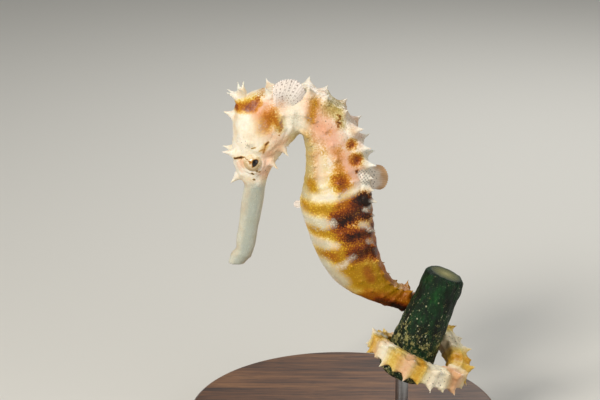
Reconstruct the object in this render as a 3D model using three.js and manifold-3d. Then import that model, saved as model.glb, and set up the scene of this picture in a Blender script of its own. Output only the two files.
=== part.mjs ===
// A thorny seahorse, life size, holding a cut stem on a display stand.
// Millimetres, +Z up. The animal faces -X, its left side faces -Y, and its own
// plane of symmetry is y = 0. The origin is the centre of the base's underside.
import * as THREE from 'three';
import { mergeVertices } from 'three/addons/utils/BufferGeometryUtils.js';
import Module from 'manifold-3d';

const wasm = await Module();
wasm.setup();

// ---------- driving dimensions ----------
const partGap = 0.3;            // between neighbouring pieces
const finThickness = 0.55;
const finSink = 0.6;            // how far a fin's foot reaches into the body before it is cut to it

const eye = { x: -18.3, y: 2.75, z: 60.4, radius: 1.95, orbit: 2.7, orbitY: 1.4 };

const stem = {
  top: new THREE.Vector3(17.88, -6.5, 32.6),       // where the tail first meets it
  down: new THREE.Vector3(-0.368, 0, -0.93).normalize(),
  above: 6.0, below: 17.0,                         // length kept above and below that point
  radiusTop: 4.1, radiusBottom: 5.2,
};
const base = { radius: 32, height: 6, chamfer: 0.8, foot: 0.6 };
const rod = { radius: 1.3, intoStem: 6, intoBase: 3 };

// Spines stand in pairs, at an angle from the back.
const backSpine = { radius: 0.8, angle: 36 };
const backSpineLengths = [2.3, 1.3, 2.1, 1.7, 1.9, 2.8, 3.0, 3.0, 1.8, 1.8, 2.2];     // rings 1 to 11
const rootSpine = { length: 1.6, radius: 0.7, angle: 36, shrink: 0.84 };             // shorter ring by ring
const sideSpine = { length: 0.8, radius: 0.5, angle: 88 };
const bellySpine = { length: 0.6, radius: 0.45, angle: 132 };
const tailSpine = { length: 1.7, radius: 0.62, angle: 42 };
const tailRing = { first: 2.75, last: 1.75, longSpineEvery: 2 };   // spacing along the wound tail

// Cross-sections of the body: the point on the back, the point on the belly
// (each [x, z] in the plane y = 0) and the half width across.
const sections = [
  ['mouth',      [-23.5, 38.2], [-20.4, 38.0], 1.15],
  ['lip',        [-22.9, 40.2], [-18.9, 39.6], 1.35],
  ['chin',       [-21.9, 41.4], [-18.9, 39.5], 1.45],
  ['flare',      [-21.8, 43.4], [-18.1, 41.8], 1.55],
  ['waist',      [-21.4, 45.6], [-17.5, 45.2], 1.50],
  ['midSnout',   [-21.0, 48.8], [-16.8, 48.7], 1.60],
  ['rearSnout',  [-20.6, 52.3], [-16.2, 52.0], 1.85],
  ['snoutBase',  [-20.1, 54.8], [-15.9, 54.7], 2.10],
  ['nostril',    [-21.3, 56.9], [-15.2, 57.1], 2.75],
  ['eye',        [-22.0, 59.4], [-14.1, 59.2], 3.30],
  ['brow',       [-22.3, 61.9], [-12.8, 61.2], 3.70],
  ['cheek',      [-22.1, 64.8], [-11.4, 62.9], 4.15],
  ['gill',       [-22.1, 68.1], [-10.3, 64.1], 4.50],
  ['crown',      [-21.4, 71.4], [-9.8, 64.7],  4.55],
  ['nape',       [-19.0, 73.4], [-9.5, 65.1],  4.25],
  ['ring1',      [-15.3, 74.6], [-9.2, 65.4],  4.10],
  ['ring2',      [-11.6, 75.2], [-8.9, 65.5],  4.25],
  ['ring3',      [-7.4, 75.0],  [-8.55, 65.2], 4.50],
  ['ring4',      [-3.9, 73.7],  [-8.2, 64.5],  4.80],
  ['ring5',      [-0.3, 70.9],  [-7.9, 63.2],  5.10],
  ['ring6',      [2.1, 67.2],   [-7.7, 61.5],  5.35],
  ['ring7',      [3.4, 63.5],   [-7.7, 59.4],  5.55],
  ['ring8',      [4.4, 60.2],   [-7.8, 57.3],  5.70],
  ['ring9',      [4.9, 57.5],   [-8.1, 55.4],  5.80],
  ['ring10',     [5.1, 55.1],   [-8.4, 53.6],  5.85],
  ['ring11',     [5.3, 52.8],   [-8.8, 51.7],  5.90],
  ['tail1',      [5.5, 49.8],   [-8.6, 49.2],  6.00],
  ['tail2',      [5.8, 46.6],   [-7.7, 46.2],  6.05],
  ['tail3',      [6.3, 43.2],   [-6.5, 42.6],  5.85],
  ['tail4',      [7.0, 40.0],   [-4.7, 38.6],  5.40],
  ['tail5',      [8.2, 37.1],   [-2.1, 34.9],  4.70],
  ['tail6',      [9.4, 34.9],   [1.1, 32.4],   3.85],
  ['tail7',      [10.7, 33.6],  [4.6, 30.7],   3.10],
  ['tail8',      [11.8, 33.0],  [8.1, 29.3],   2.55],
  ['tail9',      [13.0, 32.6],  [11.4, 28.3],  2.30],
];

// The rest of the tail winds round the stem. Each row: the turn round the stem
// in degrees (0 left, 90 behind, 180 right, 270 in front), the distance from
// the stem's axis, the distance down it, and the tail's half thickness.
const winding = [
  [75,  7.35, 5.0,  2.25],
  [95,  7.10, 6.1,  2.20],
  [120, 7.25, 7.4,  2.15],
  [150, 8.50, 9.2,  2.10],
  [178, 9.90, 11.2, 2.05],
  [203, 10.0, 12.3, 2.10],
  [228, 8.70, 12.7, 2.15],
  [254, 7.70, 12.5, 2.15],
  [284, 7.55, 12.1, 2.08],
  [316, 7.40, 12.0, 1.92],
  [348, 7.20, 12.3, 1.70],
  [380, 6.95, 12.7, 1.45],
  [415, 6.65, 12.9, 1.15],
  [450, 6.35, 12.8, 0.85],
  [480, 6.05, 12.6, 0.55],
];

const tone = {
  cream: 0xe9dcc0, pale: 0xd9d5c3, gold: 0xc79a52, rose: 0xe3c3a4,
  fin: 0xe8e0cc, iris: 0x2a1a10, stem: 0x12351c, wood: 0x2b1d14, steel: 0xb9bcc0,
};

// ---------- solids ----------
const up = new THREE.Vector3(0, 1, 0);
const across = new THREE.Vector3(0, 1, 0);       // from the left side to the right side
const radians = THREE.MathUtils.degToRad;

function solid(geometry) {
  let shape = geometry.clone();
  shape.deleteAttribute('normal');
  shape.deleteAttribute('uv');
  shape = mergeVertices(shape, 1e-4);
  const vertProperties = new Float32Array(shape.attributes.position.array);
  const triVerts = new Uint32Array(shape.index.array);
  if (signedVolume(vertProperties, triVerts) < 0) turnInsideOut(triVerts);
  return new wasm.Manifold(new wasm.Mesh({ numProp: 3, vertProperties, triVerts }));
}

function signedVolume(points, triangles) {
  const corner = (index) => new THREE.Vector3().fromArray(points, 3 * index);
  let volume = 0;
  for (let t = 0; t < triangles.length; t += 3) {
    const [a, b, c] = [corner(triangles[t]), corner(triangles[t + 1]), corner(triangles[t + 2])];
    volume += a.dot(b.cross(c)) / 6;
  }
  return volume;
}

function turnInsideOut(triangles) {
  for (let t = 0; t < triangles.length; t += 3) {
    [triangles[t + 1], triangles[t + 2]] = [triangles[t + 2], triangles[t + 1]];
  }
}

// The largest single body of a solid, without slivers left by a cut.
function largest(shape) {
  return shape.decompose().reduce((best, next) => (next.volume() > best.volume() ? next : best));
}

const model = new THREE.Group();

function addNode(name, shape, colour, roughness, metalness = 0) {
  const { vertProperties, triVerts } = largest(shape).getMesh();
  const geometry = new THREE.BufferGeometry();
  geometry.setAttribute('position', new THREE.BufferAttribute(new Float32Array(vertProperties), 3));
  geometry.setIndex(new THREE.BufferAttribute(new Uint32Array(triVerts), 1));
  geometry.computeVertexNormals();
  const material = new THREE.MeshStandardMaterial({ color: colour, roughness, metalness });
  const mesh = new THREE.Mesh(geometry, material);
  mesh.name = name;
  model.add(mesh);
}

// ---------- the body as one sweep ----------
const stemLeft = new THREE.Vector3(stem.down.z, 0, -stem.down.x);

function stemPoint(turn, distance, along) {
  const out = stemLeft.clone().multiplyScalar(Math.cos(radians(turn)));
  out.addScaledVector(across, Math.sin(radians(turn)));
  return { out, point: stem.top.clone().addScaledVector(stem.down, along).addScaledVector(out, distance) };
}

const stations = sections.map(([name, back, belly, halfWidth]) => {
  const top = new THREE.Vector3(back[0], 0, back[1]);
  const bottom = new THREE.Vector3(belly[0], 0, belly[1]);
  const depth = top.distanceTo(bottom) / 2;
  return {
    name,
    centre: top.clone().add(bottom).multiplyScalar(0.5),
    dorsal: top.clone().sub(bottom).normalize(),
    size: new THREE.Vector3(depth, halfWidth, 0),
  };
});

const lastFlat = stations[stations.length - 1];
for (const [turn, distance, along, half] of winding) {
  const { out, point } = stemPoint(turn, distance, along);
  const twist = THREE.MathUtils.smoothstep(turn, 55, 125);
  const dorsal = lastFlat.dorsal.clone().lerp(out, twist).normalize();
  const size = new THREE.Vector3(half, half * 0.96, 0);
  stations.push({ name: `turn${turn}`, centre: point, dorsal, size });
}

const centreLine = new THREE.CatmullRomCurve3(stations.map((s) => s.centre), false, 'centripetal');
const dorsalLine = new THREE.CatmullRomCurve3(stations.map((s) => s.dorsal), false, 'centripetal');
const sizeLine = new THREE.CatmullRomCurve3(stations.map((s) => s.size), false, 'centripetal');
const lastStation = stations.length - 1;
const stationIndex = (name) => stations.findIndex((s) => s.name === name);

// The body's frame at any place along it, counted in stations from the mouth.
function bodyAt(place) {
  const t = THREE.MathUtils.clamp(place / lastStation, 0, 1);
  const step = 0.02 / lastStation;
  const dorsal = dorsalLine.getPoint(t).normalize();
  const ahead = centreLine.getPoint(Math.min(t + step, 1)).sub(centreLine.getPoint(Math.max(t - step, 0)));
  const flat = place <= stationIndex('tail9');
  const side = flat ? across.clone() : ahead.clone().cross(dorsal).normalize();
  const along = dorsal.clone().cross(side).normalize();
  if (along.dot(ahead) < 0) along.negate();
  if (!flat) side.multiplyScalar(Math.sign(side.dot(dorsal.clone().cross(along))) || 1);
  const size = sizeLine.getPoint(t);
  return { centre: centreLine.getPoint(t), dorsal, side, along, depth: size.x, width: size.y };
}

// A point on the body's surface, the angle counted from the back round to the side.
function surfacePoint(place, angle, fullness = 2.35) {
  const frame = bodyAt(place);
  const [c, s] = [Math.cos(radians(angle)), Math.sin(radians(angle))];
  const reach = (Math.abs(c) ** fullness + Math.abs(s) ** fullness) ** (-1 / fullness);
  return frame.centre.clone()
    .addScaledVector(frame.dorsal, frame.depth * c * reach)
    .addScaledVector(frame.side, frame.width * s * reach);
}

// A closed length of the body between two places, cut square at both ends.
function bodyLength(from, to, steps, sides) {
  const overrun = 0.5;
  const [start, end] = [Math.max(0, from - overrun), Math.min(lastStation, to + overrun)];
  const geometry = new THREE.CylinderGeometry(1, 1, 1, sides, steps);
  const positions = geometry.attributes.position;
  for (let i = 0; i < positions.count; i++) {
    const [x, y, z] = [positions.getX(i), positions.getY(i), positions.getZ(i)];
    const place = THREE.MathUtils.lerp(start, end, 0.5 - y);
    const rim = Math.hypot(x, z) > 0.5;
    const angle = THREE.MathUtils.radToDeg(Math.atan2(x, z));
    const point = rim ? surfacePoint(place, angle) : bodyAt(place).centre;
    positions.setXYZ(i, point.x, point.y, point.z);
  }
  return solid(geometry);
}

function cutBetween(shape, from, to) {
  let kept = shape;
  if (from > 0) {
    const { centre, along } = bodyAt(from);
    kept = kept.trimByPlane(along.toArray(), along.dot(centre) + partGap / 2);
  }
  if (to < lastStation) {
    const { centre, along } = bodyAt(to);
    kept = kept.trimByPlane(along.clone().negate().toArray(), -along.dot(centre) + partGap / 2);
  }
  return kept;
}

// ---------- spines ----------
function spine(foot, direction, length, radius, sides = 5) {
  const sunk = 0.55 * radius;
  const geometry = new THREE.ConeGeometry(radius, length + sunk, sides);
  geometry.translate(0, (length + sunk) / 2 - sunk, 0);
  geometry.applyQuaternion(new THREE.Quaternion().setFromUnitVectors(up, direction.clone().normalize()));
  geometry.translate(foot.x, foot.y, foot.z);
  return solid(geometry);
}

// A pair of spines on one ring, the same angle each side of the back.
function spinePair(place, { length, radius, angle }, lean = 0) {
  return [-1, 1].map((side) => {
    const { centre, along, dorsal, side: outward } = bodyAt(place);
    const foot = surfacePoint(place, side * angle);
    const direction = dorsal.clone().multiplyScalar(Math.cos(radians(angle)))
      .addScaledVector(outward, side * Math.sin(radians(angle)))
      .lerp(foot.clone().sub(centre).normalize(), 0.4)
      .addScaledVector(along, lean);
    return spine(foot, direction, length, radius);
  });
}

// A spine in the plane of symmetry, or one each side where it stands off it.
function headSpine(foot, tip, radius) {
  const sides = foot[1] === 0 ? [1] : [-1, 1];
  return sides.map((side) => {
    const [a, b] = [foot, tip].map(([x, y, z]) => new THREE.Vector3(x, side * y, z));
    return spine(a, b.clone().sub(a), a.distanceTo(b), radius);
  });
}

const join = (shape, additions) => additions.reduce((whole, piece) => whole.add(piece), shape);

// ---------- head ----------
const snoutEnd = stationIndex('snoutBase');
const headEnd = stationIndex('nape') + 0.4;
const snoutLength = cutBetween(bodyLength(0, snoutEnd, 13, 16), 0, snoutEnd);
addNode('snout', snoutLength, tone.pale, 0.55);

const ball = (x, y, z, radius, around = 14, down = 9) => {
  const geometry = new THREE.SphereGeometry(radius, around, down);
  geometry.rotateX(Math.PI / 2);
  geometry.translate(x, y, z);
  return solid(geometry);
};
const orbits = [-1, 1].map((side) => ball(eye.x, side * eye.orbitY, eye.z, eye.orbit));
const sockets = [-1, 1].map((side) => ball(eye.x, side * eye.y, eye.z, eye.radius + partGap));

const headSpines = [
  headSpine([-21.3, 0, 56.6], [-22.9, 0, 55.0], 0.75),           // nose
  headSpine([-21.8, 1.5, 61.7], [-24.5, 2.1, 62.2], 1.05),       // over each eye
  headSpine([-22.0, 0, 69.2], [-24.2, 0, 69.9], 0.95),           // brow of the crown
  headSpine([-12.6, 2.6, 63.2], [-11.1, 3.6, 61.5], 0.85),       // cheek, below the gill
  headSpine([-14.7, 2.7, 60.2], [-13.2, 3.5, 58.9], 0.65),       // cheek, below the eye
  headSpine([-18.8, 4.0, 64.4], [-19.6, 5.3, 64.6], 0.7),        // temple
].flat();
const headLength = bodyLength(snoutEnd, headEnd, 13, 16);
const wholeHead = cutBetween(join(headLength, [...orbits, ...headSpines]), snoutEnd, headEnd);
const head = sockets.reduce((shape, socket) => shape.subtract(socket), wholeHead);
addNode('head', head, tone.cream, 0.6);
addNode('eye_left', ball(eye.x, -eye.y, eye.z, eye.radius), tone.iris, 0.15);
addNode('eye_right', ball(eye.x, eye.y, eye.z, eye.radius), tone.iris, 0.15);

// ---------- neck and trunk ----------
function ringed(from, to, steps, spines, sides = 16) {
  return cutBetween(join(bodyLength(from, to, steps, sides), spines), from, to);
}

function trunkRing(number) {
  const place = stationIndex(`ring${number}`);
  const length = backSpineLengths[number - 1];
  const rows = [spinePair(place, { ...backSpine, length }), spinePair(place, sideSpine)];
  if (number > 2 && number < 9) rows.push(spinePair(place, bellySpine));
  return rows.flat();
}

const neckEnd = stationIndex('ring4') + 0.5;
const chestEnd = stationIndex('ring8') + 0.5;
const trunkEnd = stationIndex('ring11') + 0.5;
const neck = ringed(headEnd, neckEnd, 9, [1, 2, 3, 4].flatMap(trunkRing));
const trunkFront = ringed(neckEnd, chestEnd, 9, [5, 6, 7, 8].flatMap(trunkRing));
const trunkRear = ringed(chestEnd, trunkEnd, 7, [9, 10, 11].flatMap(trunkRing));
addNode('neck', neck, tone.cream, 0.6);
addNode('trunk_front', trunkFront, tone.rose, 0.6);
addNode('trunk_rear', trunkRear, tone.rose, 0.6);

// ---------- the tail's root and the brood pouch below it ----------
const pouchEnd = stationIndex('tail7') + 0.5;
const rootRings = [1, 2, 3, 4, 5, 6, 7].flatMap((number) => {
  const shrink = rootSpine.shrink ** (number - 1);
  const scaled = { ...rootSpine, length: rootSpine.length * shrink, radius: rootSpine.radius * shrink };
  return spinePair(stationIndex(`tail${number}`), scaled);
});
const tailRoot = ringed(trunkEnd, pouchEnd, 17, rootRings);

// Everything on the belly's side of a line drawn through the body, lifted by a height.
function pouchSide(lift) {
  const rows = [];
  const count = 12;
  for (let i = 0; i <= count; i++) {
    const place = THREE.MathUtils.lerp(trunkEnd - 0.4, pouchEnd + 0.4, i / count);
    const { centre, dorsal, depth } = bodyAt(place);
    const share = 0.24 + 0.28 * Math.sin(Math.PI * i / count);
    const inner = centre.clone().addScaledVector(dorsal, depth * (2 * share - 1) + lift);
    const outer = centre.clone().addScaledVector(dorsal, -depth - 3);
    rows.push([inner, outer]);
  }
  const outline = [...rows.map((row) => row[0]), ...rows.map((row) => row[1]).reverse()];
  const shape = new THREE.Shape(outline.map((point) => new THREE.Vector2(point.x, point.z)));
  const geometry = new THREE.ExtrudeGeometry(shape, { depth: 20, bevelEnabled: false });
  geometry.translate(0, 0, -10);
  geometry.rotateX(Math.PI / 2);
  return solid(geometry);
}
addNode('brood_pouch', tailRoot.intersect(pouchSide(0)), tone.gold, 0.6);
addNode('tail_1', tailRoot.subtract(pouchSide(partGap)), tone.gold, 0.6);

// ---------- the tail round the stem ----------
const tailCuts = [pouchEnd, stationIndex('turn120') - 0.5, stationIndex('turn203') - 0.5,
  stationIndex('turn284') - 0.5, stationIndex('turn380') - 0.5, lastStation];

// Where the rings with long spines lie, as places along the body: the rings get closer as it thins.
function longSpinePlaces() {
  const places = [];
  const start = stationIndex('tail9');
  const samples = 400;
  const points = Array.from({ length: samples + 1 }, (_, i) =>
    bodyAt(THREE.MathUtils.lerp(start, lastStation, i / samples)).centre);
  const runs = points.map((point, i) => (i ? point.distanceTo(points[i - 1]) : 0));
  const wholeRun = runs.reduce((sum, run) => sum + run, 0);
  let [walked, rings] = [0, tailRing.longSpineEvery];
  for (let i = 0; i <= samples; i++) {
    walked += runs[i];
    rings += runs[i] / THREE.MathUtils.lerp(tailRing.first, tailRing.last, walked / wholeRun);
    if (rings >= tailRing.longSpineEvery) {
      places.push(THREE.MathUtils.lerp(start, lastStation, i / samples));
      rings -= tailRing.longSpineEvery;
    }
  }
  return places.filter((place) => place < lastStation - 0.5);
}
const tailSpinePlaces = longSpinePlaces();

for (let i = 0; i + 1 < tailCuts.length; i++) {
  const [from, to] = [tailCuts[i], tailCuts[i + 1]];
  const spines = tailSpinePlaces
    .filter((place) => place > from && place < to)
    .flatMap((place) => {
      const shrink = bodyAt(place).depth / 2.2;
      const [length, radius] = [tailSpine.length * shrink, tailSpine.radius * shrink];
      return spinePair(place, { ...tailSpine, length, radius });
    });
  addNode(`tail_${i + 2}`, ringed(from, to, Math.round(3.2 * (to - from)), spines, 12), tone.gold, 0.6);
}

// ---------- crown ----------
// A piece that stands on the body: cut to the body's surface, then lifted off by the gap.
function standOn(piece, body, direction) {
  const lift = direction.clone().normalize().multiplyScalar(partGap);
  return largest(piece.subtract(body)).translate(lift.toArray());
}

const crown = { foot: new THREE.Vector3(-20.4, 0, 72.5), radius: 1.35, height: 1.5, points: 5, reach: 2.0 };
crown.axis = new THREE.Vector3(-0.52, 0, 0.85).normalize();
const crownStalk = new THREE.CylinderGeometry(crown.radius, crown.radius * 1.25, crown.height * 2, 10);
crownStalk.applyQuaternion(new THREE.Quaternion().setFromUnitVectors(up, crown.axis));
crownStalk.translate(crown.foot.x, crown.foot.y, crown.foot.z);
const crownTop = crown.foot.clone().addScaledVector(crown.axis, crown.height * 0.85);
const crownFront = new THREE.Vector3().crossVectors(across, crown.axis);
const crownPoints = Array.from({ length: crown.points }, (_, i) => {
  const turn = 2 * Math.PI * i / crown.points;
  const out = crownFront.clone().multiplyScalar(Math.cos(turn)).addScaledVector(across, Math.sin(turn));
  const foot = crownTop.clone().addScaledVector(out, crown.radius * 0.6);
  return spine(foot, out.multiplyScalar(0.75).add(crown.axis), crown.reach, 0.6);
});
addNode('coronet', standOn(join(solid(crownStalk), crownPoints), wholeHead, crown.axis), tone.cream, 0.6);

// ---------- fins ----------
// A fan of a fin as a thin plate: its foot lies along x, and it opens upwards.
function fan(footLength, height, spread, lean) {
  const outline = [new THREE.Vector2(-footLength / 2, 0)];
  const tips = 9;
  for (let i = 0; i <= tips; i++) {
    const turn = Math.PI * (1 - i / tips);
    const scallop = 1 - 0.05 * (i % 2);
    outline.push(new THREE.Vector2(lean + spread * Math.cos(turn) * scallop,
      height * (0.42 + 0.58 * Math.sin(turn)) * scallop));
  }
  outline.push(new THREE.Vector2(footLength / 2, 0));
  const thickness = { depth: finThickness, bevelEnabled: false };
  const geometry = new THREE.ExtrudeGeometry(new THREE.Shape(outline), thickness);
  geometry.translate(0, -finSink, -finThickness / 2);
  return geometry;
}

function placeFin(geometry, foot, along, outward) {
  const normal = along.clone().cross(outward).normalize();
  const squared = outward.clone().sub(along.clone().multiplyScalar(along.dot(outward))).normalize();
  const turn = new THREE.Matrix4().makeBasis(along, squared, normal).setPosition(foot);
  geometry.applyMatrix4(turn);
  return solid(geometry);
}

const finBack = bodyAt(stationIndex('ring9') + 0.5);
const dorsalFoot = finBack.centre.clone().addScaledVector(finBack.dorsal, finBack.depth);
const dorsalFin = placeFin(fan(4.6, 3.6, 2.7, 0.35), dorsalFoot, finBack.along, finBack.dorsal);
addNode('dorsal_fin', standOn(dorsalFin, join(trunkRear, [trunkFront]), finBack.dorsal), tone.fin, 0.45);

// Each pectoral fin: its way out, the run of its foot, and its fan. The left one is raised.
const pectoral = { place: stationIndex('ring1') + 0.3, angle: 66, sink: 0.25 };
pectoral.left = { outward: [0.25, -0.28, 0.93], hinge: [-0.97, 0, 0.25], fan: [2.6, 5.8, 3.3, -0.9] };
pectoral.right = { outward: [0.8, 0.42, 0.12], hinge: [-0.3, 0, 0.95], fan: [2.4, 4.4, 2.5, -0.8] };
for (const [name, side] of [['left', -1], ['right', 1]]) {
  const pose = pectoral[name];
  const outward = new THREE.Vector3(...pose.outward).normalize();
  const hinge = new THREE.Vector3(...pose.hinge).normalize();
  const foot = surfacePoint(pectoral.place, side * pectoral.angle);
  foot.addScaledVector(across, side * pectoral.sink);
  const fin = placeFin(fan(...pose.fan), foot, hinge, outward);
  const seated = standOn(fin, join(neck, [wholeHead]), new THREE.Vector3(0, side, 0));
  addNode(`pectoral_fin_${name}`, seated, tone.fin, 0.45);
}

const ventFrame = bodyAt(trunkEnd + 0.45);
const ventFoot = ventFrame.centre.clone().addScaledVector(ventFrame.dorsal, -ventFrame.depth);
const ventDown = ventFrame.dorsal.clone().negate();
const analFin = placeFin(fan(1.1, 1.5, 0.8, 0), ventFoot, ventFrame.along, ventDown);
addNode('anal_fin', standOn(analFin, join(tailRoot, [trunkRear]), ventDown), tone.fin, 0.45);

// ---------- the stem it holds, as a cut perch ----------
const stemLength = stem.above + stem.below;
const stemShape = new THREE.CylinderGeometry(stem.radiusTop, stem.radiusBottom, stemLength, 22, 9);
const stemPoints = stemShape.attributes.position;
for (let i = 0; i < stemPoints.count; i++) {
  const [x, y, z] = [stemPoints.getX(i), stemPoints.getY(i), stemPoints.getZ(i)];
  const swell = 1 + 0.012 * Math.sin(0.55 * y + 2 * Math.atan2(x, z));
  stemPoints.setXYZ(i, x * swell, y, z * swell);
}
stemShape.applyQuaternion(new THREE.Quaternion().setFromUnitVectors(up, stem.down.clone().negate()));
const stemMiddle = stem.top.clone().addScaledVector(stem.down, (stem.below - stem.above) / 2);
stemShape.translate(stemMiddle.x, stemMiddle.y, stemMiddle.z);

// ---------- stand ----------
const stemFoot = stem.top.clone().addScaledVector(stem.down, stem.below);
const rodTop = stemFoot.z + rod.intoStem;
const rodFoot = base.height - rod.intoBase;
const upright = (radius, from, to, sides) => {
  const geometry = new THREE.CylinderGeometry(radius, radius, to - from, sides);
  geometry.rotateX(Math.PI / 2);
  geometry.translate(stemFoot.x, stemFoot.y, (from + to) / 2);
  return solid(geometry);
};
const rodHole = upright(rod.radius + partGap, rodFoot - partGap, rodTop + partGap, 16);
addNode('perch', solid(stemShape).subtract(rodHole), tone.stem, 0.7);
addNode('stand_rod', upright(rod.radius, rodFoot, rodTop, 16), tone.steel, 0.3, 1);

const { radius: r, height: h, chamfer: c, foot: f } = base;
const corners = [[0, 0], [r - f, 0], [r, f], [r, h - c], [r - c, h], [0, h]];
const profile = corners.map(([x, y]) => new THREE.Vector2(x, y));
const disc = new THREE.LatheGeometry(profile, 64);
disc.rotateX(Math.PI / 2);
addNode('stand_base', solid(disc).subtract(rodHole), tone.wood, 0.4);

export default model;
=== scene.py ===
# %% [markdown]
# # A thorny seahorse on a cut stem
# This lesson dresses a museum model of a thorny seahorse, *Hippocampus histrix*. The solids that
# carry it come in as a fixed frame, in metres, so every piece made here goes where they say. Lengths
# in this file are in millimetres, because the animal is only as long as a finger, and they are
# turned to metres when a mesh is made.

# %% Load the frame
import math
import bpy
import numpy as np
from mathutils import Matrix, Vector, kdtree, noise


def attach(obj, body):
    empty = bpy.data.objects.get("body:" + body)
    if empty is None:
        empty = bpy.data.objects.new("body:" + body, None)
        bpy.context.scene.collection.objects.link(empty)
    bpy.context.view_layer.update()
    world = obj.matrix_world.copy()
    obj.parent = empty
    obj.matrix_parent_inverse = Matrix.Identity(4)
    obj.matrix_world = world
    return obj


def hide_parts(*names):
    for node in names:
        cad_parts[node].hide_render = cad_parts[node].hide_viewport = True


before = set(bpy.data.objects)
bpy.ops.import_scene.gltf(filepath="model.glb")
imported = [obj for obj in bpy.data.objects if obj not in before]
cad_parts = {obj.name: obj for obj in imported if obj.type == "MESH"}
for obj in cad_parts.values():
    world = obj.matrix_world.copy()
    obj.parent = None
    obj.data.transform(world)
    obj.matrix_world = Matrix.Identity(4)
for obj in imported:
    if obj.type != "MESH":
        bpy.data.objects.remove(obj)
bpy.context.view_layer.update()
METRES = 0.001

# %% [markdown]
# ## Small tools
# Five helpers serve the whole lesson. One turns the sRGB hex colours that people read into the linear
# numbers that Blender works in. One adds a shader node, sets what it is given, links any output it is
# given and hands back its own. One makes a material. One turns a size into the scale of a pattern.
# The last makes a mesh and hands it to the frame: its body, its finish and the solids that it stands
# for.

# %% Colours, nodes and pieces
def linear(hex_colour):
    """An sRGB hex colour as linear red, green, blue and an alpha of 1."""
    channels = [int(hex_colour[i:i + 2], 16) / 255 for i in (1, 3, 5)]
    return tuple(c / 12.92 if c < 0.04045 else ((c + 0.055) / 1.055) ** 2.4 for c in channels) + (1.0,)


def add_node(tree, kind, output=None, **settings):
    """Add a node, and return its output of that name, or else the first that its settings switch on.

    A setting is a value, or the output of another node to link. In0, In1 and so on name an input by
    its number, and stops are the (position, colour) pairs of a colour ramp, which starts with two.
    """
    node = tree.nodes.new("ShaderNode" + kind)
    for name, value in settings.items():
        if name[:2] == "In" and name[2:].isdigit():
            target = node.inputs[int(name[2:])]
        else:
            target = node.inputs.get(name.replace("_", " ")) if name[0].isupper() else None
        if isinstance(value, bpy.types.NodeSocket):
            tree.links.new(value, target)
        elif target is not None:
            target.default_value = value
        elif name == "stops":
            elements = node.color_ramp.elements
            for index, (position, colour) in enumerate(value):
                stop = elements[index] if index < 2 else elements.new(position)
                stop.position = position
                stop.color = linear(colour)
        else:
            setattr(node, name, value)
    return node.outputs[output] if output else next(socket for socket in node.outputs if socket.enabled)


def new_material(name):
    """A material, its node tree and the shader node that every finish starts from."""
    material = bpy.data.materials.new(name)
    material.use_nodes = True
    return material, material.node_tree, material.node_tree.nodes["Principled BSDF"]


def per_mm(size):
    """The scale of a pattern whose features are this many millimetres wide."""
    return 1 / (size * METRES)


def piece(name, points, faces, material, slot, *nodes):
    """A mesh from points in millimetres, ready to ride in the place of the solids named."""
    mesh = bpy.data.meshes.new(name)
    mesh.from_pydata((np.asarray(points, float) * METRES).tolist(), [], faces)
    mesh.validate()
    mesh.shade_smooth()
    thing = bpy.data.objects.new(name, mesh)
    bpy.context.scene.collection.objects.link(thing)
    mesh.materials.append(material)
    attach(thing, "root")
    if nodes:
        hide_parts(*nodes)
    low, high = np.min(points, 0), np.max(points, 0)
    print(f"{name}: {len(faces)} faces, {np.round(high - low, 1)} mm")
    return thing


print("half way up in sRGB is", round(linear("#808080")[0], 3), "in linear light")

# %% [markdown]
# ## Camera, floor and light
# A seahorse is small, so it is pictured with a long lens from less than half a metre away, looking
# down a little. The light is a small studio's: a soft lamp high on the left, where a diver's flash
# would be, a larger and weaker one on the right, and a third from behind to draw the spines' edges.
# The floor is plain, pale matt paper, which gives the eye a soft shadow and no shine.

# %% The camera
PICTURE_WIDTH = 600              # pixels
FOCUS = 2000                     # the lens's focal length, counted in those pixels
SENSOR = 36.0                    # mm
CAMERA_HEIGHT = math.radians(18)
CAMERA_DISTANCE = 400            # mm
AIM = Vector((-9.0, 0.0, 51.5))

camera_data = bpy.data.cameras.new("camera")
camera_data.sensor_width = SENSOR
camera_data.lens = SENSOR * FOCUS / PICTURE_WIDTH
camera_data.clip_start = 0.01
camera = bpy.data.objects.new("camera", camera_data)
bpy.context.scene.collection.objects.link(camera)
towards_camera = Vector((0, -math.cos(CAMERA_HEIGHT), math.sin(CAMERA_HEIGHT)))
camera.location = (AIM + towards_camera * CAMERA_DISTANCE) * METRES
camera.rotation_euler = (-towards_camera).to_track_quat("-Z", "Y").to_euler()
bpy.context.scene.camera = camera
bpy.context.scene.view_settings.view_transform = "Standard"
print("camera", [round(v, 4) for v in camera.location], "lens", camera_data.lens)

# %% Floor and lamps
floor_paper, tree, shader = new_material("pale matt paper")
shader.inputs["Base Color"].default_value = linear("#D6D4CD")
shader.inputs["Roughness"].default_value = 0.85
FLOOR_SIZE = 3000
floor_mesh = bpy.data.meshes.new("floor")
edge = FLOOR_SIZE / 2 * METRES
corners = [(-edge, -edge, 0), (edge, -edge, 0), (edge, edge, 0), (-edge, edge, 0)]
floor_mesh.from_pydata(corners, [], [(0, 1, 2, 3)])
floor_mesh.materials.append(floor_paper)
floor = bpy.data.objects.new("floor", floor_mesh)
bpy.context.scene.collection.objects.link(floor)

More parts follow.
